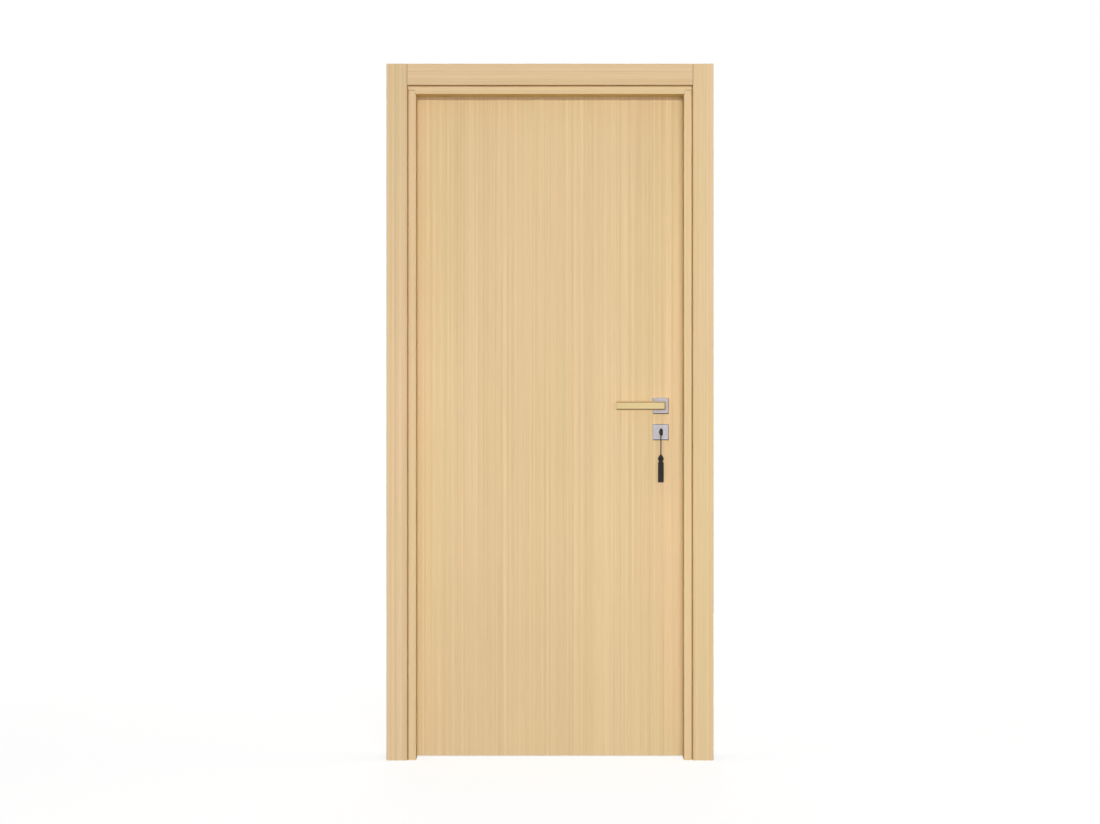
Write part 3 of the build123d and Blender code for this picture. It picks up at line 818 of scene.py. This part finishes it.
level_cut = calc(tree, "ABSOLUTE", facing(tree, "Z"))
level_cut = calc(tree, "GREATER_THAN", level_cut, LEVEL_FACE)
at_foot = calc(tree, "LESS_THAN", place["Z"], FOOT_CUT)
at_top = calc(tree, "GREATER_THAN", place["Z"], TOP_CUT)
sawn = times(tree, level_cut, calc(tree, "MAXIMUM", at_foot, at_top))
mask = calc(tree, "MAXIMUM", hidden, sawn)
fibres = noise(tree, given["Place"], [FIBRES_PER_METRE] * 3, 4.0, 0.7)
clumps = noise(tree, given["Place"], [CLUMPS_PER_METRE] * 3, 2.0)
board = blend(tree, fibres, BOARD_DARK, BOARD_PALE)
board = blend(tree, span(tree, clumps, 0.35, 0.7, 0.0, 0.3), board, BOARD_CLUMP)
close_group(tree, wanted, Mask=mask, Color=board, Height=fibres)

# %% [markdown]
# Joints and reveals
#
# Where the head meets the legs, and the head casing its neighbours, there is a narrow open joint.
# No lacquer reaches its sides and dust settles in it, and painted shade darkens it and the arris
# beside the legs' joint, so it reads as a thin dark line. The reveals, the lining's faces beside
# and above the leaf, get painted shade: a darker, warmer tone for the shade inside the opening.
# One group marks both by their place and the way that they face.

# %% Joint group
HEAD_JOINT_X = (0.43635, 0.43725)
HEAD_JOINT_FROM = 2.0652
LEG_JOINT_X = (0.4102, 0.4322)
LEG_JOINT_Y = (-0.0577, -0.0515)
LEG_JOINT_Z = (2.0366, 2.0508)
# The arris beside the legs' joint gets painted shade.
LEG_ARRIS_SHADE_X = (0.4145, 0.4322)
LEG_ARRIS_SHADE_Z = (2.04965, 2.05075)
REVEAL_X = 0.4122
REVEAL_Z = 2.0402
SIDEWAYS = 0.5
tree, given, wanted = open_group("joints_and_reveals", {}, dict(Joint="Float", Reveal="Float"))
place = add(tree, "SeparateXYZ", {0: given["Place"]}).outputs
off_middle = calc(tree, "ABSOLUTE", minus(tree, place["X"], LINING_WIDE / 2))
leg_joint = between(tree, off_middle, *LEG_JOINT_X)
for label, limits in (("Y", LEG_JOINT_Y), ("Z", LEG_JOINT_Z)):
    leg_joint = times(tree, leg_joint, between(tree, place[label], *limits))
# Painted shade on the arris just beside the legs' joint.
leg_arris_shade = between(tree, off_middle, *LEG_ARRIS_SHADE_X)
leg_arris_shade = times(tree, leg_arris_shade, between(tree, place["Z"], *LEG_ARRIS_SHADE_Z))
head_joint = between(tree, off_middle, *HEAD_JOINT_X)
head_joint = times(tree, head_joint, calc(tree, "GREATER_THAN", place["Z"], HEAD_JOINT_FROM))
joint = calc(tree, "MAXIMUM", calc(tree, "MAXIMUM", leg_joint, leg_arris_shade), head_joint)
# This mask finds the lining's faces inside the opening, where painted shade goes.
reveal = calc(tree, "LESS_THAN", calc(tree, "ABSOLUTE", facing(tree, "Y")), SIDEWAYS)
for value, limit in ((off_middle, REVEAL_X), (place["Z"], REVEAL_Z)):
    reveal = times(tree, reveal, calc(tree, "LESS_THAN", value, limit))
close_group(tree, wanted, Joint=joint, Reveal=reveal)

# %% [markdown]
# Veneered boards
#
# Every board gets a material of its own, so that no two show the same piece of veneer. On the
# head's boards the grain runs across, because the place that the figure is read at is turned.

# %% Veneer materials
PALE, DEEP = screen(240, 212, 168), screen(215, 186, 141)
CASING_PALE, CASING_DEEP = screen(238, 209, 168), screen(213, 182, 139)
COOL = (0.985, 1.0, 0.970, 1.0)
WARM = (1.0, 0.992, 0.995, 1.0)
WORN_AND_HIGHLIT_VENEER = screen(246, 222, 180)
# Dust and painted shade in the open joints and on the arris beside the legs' joint.
JOINT_DUST_AND_SHADE = screen(74, 54, 32)
# Painted shade, multiplied into the veneer of the reveals and, warmer, of the soffit.
REVEAL_SHADE = (0.81, 0.74, 0.48, 1.0)
SOFFIT_SHADE = (0.99, 0.89, 0.57, 1.0)
VENEER_WEAR_AND_HIGHLIGHT_SPREAD = (0.0016, 0.30)
BUMP_DEEP = 0.00006
BOARD_ROUGHNESS = 0.85
LACQUER_SHINE = 0.12


def open_material(name):
    """A new material, its empty node tree, and the place on the piece that wears it."""
    material = bpy.data.materials.new(name)
    material.use_nodes = True
    tree = material.node_tree
    tree.nodes.clear()
    return material, tree, add(tree, "TexCoord").outputs["Object"]


def finish(material, colour, roughness, height, deep, shine=0.5, **others):
    """Ends a material with its shader; underscores in the names of sockets stand for spaces."""
    tree = material.node_tree
    relief = {"Height": height, "Distance": deep, "Strength": 1.0}
    values = {"Base Color": colour, "Roughness": roughness, "Specular IOR Level": shine}
    values["Normal"] = add(tree, "Bump", relief).outputs["Normal"]
    values.update((label.replace("_", " "), value) for label, value in others.items())
    shader = add(tree, "BsdfPrincipled", values)
    add(tree, "OutputMaterial", {"Surface": shader.outputs[0]})
    return material


def along_grain(tree, place, across):
    """The place that a figure is read at, turned where the grain runs across the door."""
    if not across:
        return place
    parts = add(tree, "SeparateXYZ", {0: place}).outputs
    turned = {"X": parts["Z"], "Y": parts["Y"], "Z": parts["X"]}
    return add(tree, "CombineXYZ", turned).outputs[0]


def veneer_material(
    name, board, across=False, streaks=1.0, pale=PALE, deep=DEEP, cored=False, shade_tint=REVEAL_SHADE
):
    """A lacquered veneer face, on bare board where the wall or a saw cut is."""
    material, tree, place = open_material(name)
    choices = {"Board": board, "Pale": pale, "Deep": deep, "Streaks": streaks}
    run = along_grain(tree, place, across)
    figure = put(tree, "veneer_figure", {"Place": run, "Cool": COOL, "Warm": WARM, **choices})
    # Wear and a painted highlight along the veneer's arrises.
    wear_and_highlight = rubbed_and_painted_edges(tree, place, *VENEER_WEAR_AND_HIGHLIGHT_SPREAD)
    colour = blend(tree, wear_and_highlight, figure["Color"], WORN_AND_HIGHLIT_VENEER)
    height, roughness = figure["Height"], figure["Roughness"]
    if cored:
        # Painted shade: the reveals and the soffit are darkened and warmed, and the open joints
        # darkened.
        marks = put(tree, "joints_and_reveals", {"Place": place})
        shaded_reveal_colour = blend(tree, 1.0, colour, shade_tint, "MULTIPLY")
        colour = blend(tree, marks["Reveal"], colour, shaded_reveal_colour)
        colour = blend(tree, marks["Joint"], colour, JOINT_DUST_AND_SHADE)
        bare = put(tree, "bare_board", {"Place": place})
        colour = blend(tree, bare["Mask"], colour, bare["Color"])
        height = mix_values(tree, bare["Mask"], height, bare["Height"])
        roughness = mix_values(tree, bare["Mask"], roughness, BOARD_ROUGHNESS)
    return finish(material, colour, roughness, height, BUMP_DEEP, shine=LACQUER_SHINE)


def dress(material, *names):
    """Puts a material in the slots of CAD nodes."""
    for name in names:
        slots = nodes[name].data.materials
        slots.clear()
        slots.append(material)


lining = dict(streaks=0.8, cored=True)
veneered = {
    "front_skin": dict(board=(5.9, 0.4, 1.3)),
    "back_skin": dict(board=(7.7, 1.4, 0.9)),
    "hinge_jamb": dict(board=(1.3, 5.1, 2.2), **lining),
    "latch_jamb": dict(board=(4.6, 2.8, 3.1), **lining),
    "head_jamb": dict(board=(2.2, 7.3, 1.7), across=True, shade_tint=SOFFIT_SHADE, **lining),
}
for side, step in (("front", 0.0), ("back", 11.0)):
    tones = dict(pale=CASING_PALE, deep=CASING_DEEP, cored=True)
    veneered[f"{side}_hinge_casing"] = dict(board=(5.5 + step, 0.7, 4.4), **tones)
    veneered[f"{side}_latch_casing"] = dict(board=(8.9 + step, 3.3, 1.1), cored=True)
    veneered[f"{side}_head_casing"] = dict(board=(6.1 + step, 4.2, 5.3), across=True, **tones)
for name, choices in veneered.items():
    dress(veneer_material(name + "_veneer", **choices), name)
print("veneered boards", len(veneered))

# %% [markdown]
# Inside the leaf
#
# Between the skins are softwood stiles and rails and a light filling. Their edges show when the
# leaf stands open, with a coarser, yellower grain than the veneer, and tool marks across it.

# %% Inner wood and core
WOOD_DEEP, WOOD_PALE = screen(196, 156, 104), screen(232, 200, 150)
WOOD_WORN = screen(240, 214, 170)
RINGS_RUN = (230.0, 230.0, 2.2)
FIBRE_RUN = (1500.0, 1500.0, 30.0)
MARKS_RUN = (8.0, 8.0, 420.0)
WOOD_WEAR = (0.0012, 0.3)
WOOD_BUMP, CORE_BUMP = 0.00010, 0.0002


def weighted(tree, first, second, share):
    """Two values added, the first by its share and the second by the rest."""
    first_part = times(tree, first, share)
    return plus(tree, first_part, times(tree, second, 1 - share))


def inner_wood_material(name, across):
    """Planed softwood with broad growth lines and fine tool marks."""
    material, tree, place = open_material(name)
    run = along_grain(tree, place, across)
    rings = noise(tree, run, RINGS_RUN)
    fibre = noise(tree, run, FIBRE_RUN)
    marks = noise(tree, run, MARKS_RUN, 1.0)
    tone = weighted(tree, rings, fibre, 0.75)
    colour = blend(tree, span(tree, tone, 0.3, 0.7), WOOD_DEEP, WOOD_PALE)
    colour = blend(tree, rubbed_and_painted_edges(tree, place, *WOOD_WEAR), colour, WOOD_WORN)
    height = weighted(tree, rings, marks, 0.6)
    roughness = span(tree, fibre, 0.3, 0.7, 0.55, 0.75)
    return finish(material, colour, roughness, height, WOOD_BUMP, shine=0.3)


def core_material():
    """Light pressed board."""
    material, tree, place = open_material("core_board")
    bare = put(tree, "bare_board", {"Place": place})
    return finish(material, bare["Color"], 0.9, bare["Height"], CORE_BUMP)


dress(inner_wood_material("stile_wood", False), "hinge_stile", "latch_stile")
dress(inner_wood_material("rail_wood", True), "top_rail", "bottom_rail")
dress(core_material(), "core")

# %% [markdown]
# Metal
#
# Roses and hinges are brushed nickel, and the lever has a pale champagne colour. Brushing is noise
# drawn out along the stroke, which varies the roughness and gives a very fine bump. A few longer
# scratches and brighter edges keep it from looking sprayed.

# %% Brushed metal group
COARSE_SHARE, SCRATCH_SHARE = 0.22, 0.5
SMUDGES_PER_METRE = 45.0
SCRATCH_DEEP = 0.5
tree, given, wanted = open_group(
    "brushed_metal",
    dict(Stroke="Vector", Smooth="Float", Rough="Float"),
    dict(Roughness="Float", Height="Float", Shade="Float"),
)
stroked = reckon(tree, "MULTIPLY", given["Place"], given["Stroke"])
fine = noise(tree, given["Place"], given["Stroke"], 3.0, 0.65)
coarse = noise(tree, stroked, [COARSE_SHARE] * 3, 2.0)
scratch = span(tree, noise(tree, stroked, [SCRATCH_SHARE] * 3, 1.0), 0.68, 0.76)
smudge = noise(tree, given["Place"], [SMUDGES_PER_METRE] * 3, 3.0)
mixed = weighted(tree, fine, smudge, 0.6)
width = minus(tree, given["Rough"], given["Smooth"])
rougher = times(tree, span(tree, mixed, 0.3, 0.7), width)
roughness = plus(tree, given["Smooth"], rougher)
height = minus(tree, fine, times(tree, scratch, SCRATCH_DEEP))
shade = weighted(tree, fine, coarse, 0.5)
close_group(tree, wanted, Roughness=roughness, Height=height, Shade=shade)

# %% [markdown]
# The turned disc
#
# Round the key the rose is finished on a lathe: a paler disc, with a fine ring of painted shade at
# its rim.
# The group measures how far a place is from the key's axis and gives one mask for each.

# %% Disc group
RIM_SOFT = 0.0004
RING_FROM, RING_TO = 0.0008, 0.0002
tree, given, wanted = open_group(
    "turned_disc", dict(Radius="Float"), dict(Inside="Float", Ring="Float")
)
from_key = reckon(tree, "SUBTRACT", given["Place"], (CORD_X, 0.0, EYE_LEVEL))
flat = reckon(tree, "MULTIPLY", from_key, (1.0, 0.0, 1.0))
away = add(tree, "VectorMath", {0: flat}, operation="LENGTH").outputs["Value"]
past_rim = minus(tree, away, given["Radius"])
inside = span(tree, past_rim, RIM_SOFT, -RIM_SOFT)
# Painted shade: a thin dark ring where the rim of the dish lies.
ring = span(tree, calc(tree, "ABSOLUTE", past_rim), RING_FROM, RING_TO)
close_group(tree, wanted, Inside=inside, Ring=ring)

# %% [markdown]
# Metal materials
#
# One recipe serves every fitting. Faces that look down or up may get a tone of painted shade,
# because in the photograph the lever and the roses have darker sides than a plain metal would show
# there. The lever's edges get painted shade too.

# %% Metal materials
BRUSH_DEEP = 0.00002
METAL_WEAR_AND_SHADE_SPREAD = (0.0008, 0.5)
POLISHED, DISC_RIM_SHADE = screen(238, 236, 236), screen(96, 92, 96)
DISC_SHARE = 0.35
TURN_FROM, TURN_TO = 0.35, 0.70


def metal_material(
    name, dull, bright, stroke, smooth=0.28, rough=0.45, metallic=1.0,
    edge=POLISHED, underside_shade=None, topside_shade=None, disc=None,
):
    """A satin metal with strokes one way; edges get a worn tone, on the lever painted shade;
    undersides and tops may get painted shade.
    """
    material, tree, place = open_material(name)
    strokes = {"Stroke": stroke, "Smooth": smooth, "Rough": rough}
    brushed = put(tree, "brushed_metal", {"Place": place, **strokes})
    colour = blend(tree, span(tree, brushed["Shade"], 0.3, 0.7), dull, bright)
    level = facing(tree, "Z")
    if underside_shade:
        colour = blend(tree, span(tree, level, -TURN_FROM, -TURN_TO), colour, underside_shade)
    if topside_shade:
        colour = blend(tree, span(tree, level, TURN_FROM, TURN_TO), colour, topside_shade)
    colour = blend(tree, rubbed_and_painted_edges(tree, place, *METAL_WEAR_AND_SHADE_SPREAD), colour, edge)
    if disc:
        marks = put(tree, "turned_disc", {"Place": place, "Radius": disc})
        for mark, shade in (("Inside", POLISHED), ("Ring", DISC_RIM_SHADE)):
            share = times(tree, marks[mark], DISC_SHARE)
            colour = blend(tree, share, colour, shade)
    roughness, height = brushed["Roughness"], brushed["Height"]
    return finish(material, colour, roughness, height, BRUSH_DEEP, Metallic=metallic)


ACROSS, UPWARD, EVEN = (30.0, 900.0, 900.0), (900.0, 900.0, 30.0), (800.0, 800.0, 800.0)
SATIN = dict(smooth=0.34, rough=0.5, metallic=0.7)
DISC_RADIUS = 0.0150
# Painted shade: the lever's edges, underside and top are darker than its face, and the roses'
# undersides are nearly black.
lever_metal = metal_material(
    "lever_champagne", screen(222, 199, 145), screen(232, 210, 159), ACROSS, **SATIN,
    edge=screen(200, 174, 126), underside_shade=screen(164, 142, 104), topside_shade=screen(200, 176, 128),
)
rose_metal = metal_material(
    "rose_satin_nickel", screen(196, 193, 199), screen(210, 206, 213), UPWARD, **SATIN,
    edge=screen(214, 210, 218), underside_shade=screen(56, 46, 40), disc=DISC_RADIUS,
)
plain_metals = {}
for name, dull, bright, *brushing in (
    ("hinge_satin_steel", (176, 174, 172), (198, 196, 194), UPWARD),
    ("lock_zinc_plate", (168, 170, 174), (190, 192, 196), UPWARD),
    ("bolt_nickel", (182, 178, 170), (204, 200, 192), ACROSS, 0.2, 0.35),
    ("key_nickel", (160, 156, 150), (190, 186, 178), EVEN, 0.2, 0.38),
    ("screw_steel", (170, 168, 166), (196, 194, 192), EVEN, 0.22, 0.4),
):
    plain_metals[name] = metal_material(name, screen(*dull), screen(*bright), *brushing)

dress(lever_metal, "front_lever", "back_lever")
dress(rose_metal, "front_handle_rose", "back_handle_rose", "front_key_rose", "back_key_rose")
dress(plain_metals["lock_zinc_plate"], "lock_case", "spindle")
dress(plain_metals["bolt_nickel"], "latch_bolt", "dead_bolt")
dress(plain_metals["key_nickel"], "key_blade")
dress(plain_metals["hinge_satin_steel"], "strike_plate")
for level in ("lower", "middle", "upper"):
    for part in ("frame_half", "leaf_half", "pin"):
        dress(plain_metals["hinge_satin_steel"], f"{level}_hinge_{part}")
for piece, _, _ in screws:
    piece.data.materials.append(plain_metals["screw_steel"])

# %% [markdown]
# Rubber, moulding and thread
#
# The seal is soft rubber in the colour of the wood, and the grip a black moulding. The tassel's
# fibres are too thin to model, so a slanting noise gives the twist, and sheen their soft rim.


# %% Seal and grip
SEAL_DEEP, SEAL_PALE = screen(176, 146, 104), screen(190, 162, 120)
SEAL_GRAIN, SEAL_STREAK, SEAL_BUMP = (900.0, 900.0, 900.0), (300.0, 300.0, 6.0), 0.00005
GRIP_DEEP, GRIP_PALE, GRIP_WORN = screen(14, 12, 14), screen(22, 20, 22), screen(46, 42, 44)
GRIP_GRAIN, GRIP_HANDLED = (1600.0, 1600.0, 1600.0), (120.0, 120.0, 120.0)
GRIP_WEAR, GRIP_BUMP = (0.001, 0.3), 0.00003


def seal_material():
    """Soft rubber, drawn through a die, so its streaks run along it."""
    material, tree, place = open_material("seal_rubber")
    grain = noise(tree, place, SEAL_GRAIN, 3.0)
    streak = noise(tree, place, SEAL_STREAK, 1.0)
    colour = blend(tree, streak, SEAL_DEEP, SEAL_PALE)
    roughness = span(tree, grain, 0.3, 0.7, 0.55, 0.7)
    return finish(material, colour, roughness, grain, SEAL_BUMP, shine=0.35)


def grip_material():
    """A black moulding, glossier where it is handled."""
    material, tree, place = open_material("grip_moulding")
    grain = noise(tree, place, GRIP_GRAIN)
    handled = noise(tree, place, GRIP_HANDLED, 3.0)
    colour = blend(tree, handled, GRIP_DEEP, GRIP_PALE)
    colour = blend(tree, rubbed_and_painted_edges(tree, place, *GRIP_WEAR), colour, GRIP_WORN)
    roughness = span(tree, handled, 0.3, 0.7, 0.26, 0.38)
    return finish(material, colour, roughness, grain, GRIP_BUMP, shine=0.4)


seal = seal_material()
dress(seal, "hinge_side_seal", "latch_side_seal", "head_seal")
key_moulding.data.materials.append(grip_material())

# %% Thread group
THREAD_DEEP, THREAD_PALE, PLY_SHADE = screen(24, 21, 17), screen(60, 53, 45), screen(16, 14, 12)
PLY_SLANT, PLY_SHARE = 0.8, 0.35
FIBRE_FINE, TONE_LONG = (5000.0, 5000.0, 500.0), (700.0, 700.0, 30.0)
FUZZ = (0.6, 0.9)
THREAD_BUMP = 0.00008
tree, given, wanted = open_group(
    "spun_thread", dict(Pitch="Float"), dict(Color="Color", Height="Float", Fuzz="Float")
)
parts = add(tree, "SeparateXYZ", {0: given["Place"]}).outputs
slant = plus(tree, parts["X"], parts["Y"])
slant = plus(tree, slant, times(tree, parts["Z"], PLY_SLANT))
ply = times(tree, slant, times(tree, given["Pitch"], math.tau))
ply = span(tree, calc(tree, "SINE", ply), -1.0, 1.0)
fibre = noise(tree, given["Place"], FIBRE_FINE)
length_tone = noise(tree, given["Place"], TONE_LONG)
colour = blend(tree, length_tone, THREAD_DEEP, THREAD_PALE)
# Painted shade in the grooves between the plies, along the twist.
colour = blend(tree, times(tree, ply, PLY_SHARE), colour, PLY_SHADE)
height, fuzz = weighted(tree, ply, fibre, 0.6), span(tree, fibre, 0.3, 0.7, *FUZZ)
close_group(tree, wanted, Color=colour, Height=height, Fuzz=fuzz)


def thread_material(name, pitch, sheen):
    """Spun thread, with its twist and a soft rim."""
    material, tree, place = open_material(name)
    spun = put(tree, "spun_thread", {"Place": place, "Pitch": pitch})
    rim = dict(Sheen_Weight=sheen, Sheen_Roughness=0.45)
    look = spun["Color"], spun["Fuzz"], spun["Height"]
    return finish(material, *look, THREAD_BUMP, shine=0.25, **rim)


skirt_thread = thread_material("tassel_thread", 700.0, 0.35)
cord_thread = thread_material("cord_thread", 1100.0, 0.25)
for piece in (tassel_head, tassel_skirt):
    piece.data.materials.append(skirt_thread)
for piece in (tassel_cord, tassel_eye):
    piece.data.materials.append(cord_thread)

# %% [markdown]
# The studio
#
# The photograph was lit from behind the camera and well above it. A wide, thin lamp there gives
# the clean edge of the shadow under the soffit and no edges beside the uprights. A low lamp nearer
# to the door shines in under the soffit, and a third one lights the back. The lamps are hidden
# from the camera, or the one at the back would flare round the door, and from reflections, where
# they would burn the satin metal out to white.

# %% Lamps
KEY_PLACE, KEY_SIZE, KEY_POWER = (0.85, -11.0, 3.42), (3.6, 0.5), 68.0
FILL_PLACE, FILL_SIZE, FILL_POWER = (1.0, -6.8, 0.95), (4.0, 1.9), 132.0
BACK_PLACE, BACK_SIZE, BACK_POWER = (0.1, 9.0, 2.2), (5.0, 5.0), 520.0
KEY_AIM = Vector((1.2, 0.0, 0.7))
DOOR_MIDDLE = Vector((0.45, 0.0, 1.05))
KEY_SPREAD = 60
AMBIENT = 0.36


def lamp(name, place, size, power_watts, aim=DOOR_MIDDLE, spread=180):
    """A soft lamp, wide and high as given, that looks at a place on the door."""
    light = bpy.data.lights.new(name, "AREA")
    light.shape = "RECTANGLE"
    light.size, light.size_y = size
    light.energy = power_watts
    light.spread = math.radians(spread)
    holder = bpy.data.objects.new(name, light)
    holder.location = place
    holder.rotation_euler = (aim - Vector(place)).to_track_quat("-Z", "Y").to_euler()
    holder.visible_camera = False
    holder.visible_glossy = False
    bpy.context.scene.collection.objects.link(holder)
    return holder


key_lamp = lamp("key_lamp", KEY_PLACE, KEY_SIZE, KEY_POWER, KEY_AIM, KEY_SPREAD)
lamp("fill_lamp", FILL_PLACE, FILL_SIZE, FILL_POWER)
lamp("back_lamp", BACK_PLACE, BACK_SIZE, BACK_POWER)

# %% [markdown]
# What shades the door
#
# In the photograph the frame casts a sharp shadow and the fittings none. Light linking does the
# same: only the boards stand in the key lamp's way. The soft lamps still shade the fittings.

# %% Boards that cast the key's shadow
key_boards = bpy.data.collections.new("boards_in_the_key")
for name in veneered:
    key_boards.objects.link(nodes[name])
key_lamp.light_linking.blocker_collection = key_boards

# %% [markdown]
# World and floor
#
# The world is white where it is seen and dimmer where it lights. The floor is half paint and half
# glow to the camera, so it is as white as the paper behind it and still holds the door's faint
# shadow. To the light it is a mid grey, which sends a little up under the soffit.

# %% World and floor
WHITE = (1.0, 1.0, 1.0, 1.0)
FLOOR_X, FLOOR_Y = (-7, 8), (-9, 5)
FLOOR_LIT, FLOOR_SEEN = (0.25, 0.25, 0.25, 1.0), (0.8, 0.8, 0.8, 1.0)
FLOOR_GLOW = 1.485
GLOW_SHARE = 0.5


def studio_tree(owner):
    """An empty node tree, with a mask of the rays by which the camera sees the studio."""
    owner.use_nodes = True
    tree = owner.node_tree
    tree.nodes.clear()
    path = add(tree, "LightPath").outputs
    shown = calc(tree, "MAXIMUM", path["Is Glossy Ray"], path["Is Transmission Ray"])
    return tree, calc(tree, "MAXIMUM", path["Is Camera Ray"], shown)


world = bpy.data.worlds.new("studio")
bpy.context.scene.world = world
tree, shown = studio_tree(world)
strength = mix_values(tree, shown, AMBIENT, 1.0)
white = add(tree, "Background", {"Color": WHITE, "Strength": strength})
add(tree, "OutputWorld", {"Surface": white.outputs[0]})

floor_mesh = bpy.data.meshes.new("studio_floor")
(left, right), (front, back) = FLOOR_X, FLOOR_Y
corners = [(left, front, 0), (right, front, 0), (right, back, 0), (left, back, 0)]
floor_mesh.from_pydata(corners, [], [(0, 1, 2, 3)])
floor = bpy.data.objects.new("studio_floor", floor_mesh)
bpy.context.scene.collection.objects.link(floor)
floor_material = bpy.data.materials.new("pale_floor")
tree, shown = studio_tree(floor_material)
paint = blend(tree, shown, FLOOR_LIT, FLOOR_SEEN)
matt = add(tree, "BsdfDiffuse", {"Color": paint}).outputs[0]
glow = add(tree, "Emission", {"Color": WHITE, "Strength": FLOOR_GLOW}).outputs[0]
share = times(tree, shown, GLOW_SHARE)
mixed = add(tree, "MixShader", {0: share, 1: matt, 2: glow}).outputs[0]
add(tree, "OutputMaterial", {"Surface": mixed})
floor_mesh.materials.append(floor_material)

# %% Finish
scene = bpy.context.scene
scene.view_settings.view_transform = "Standard"
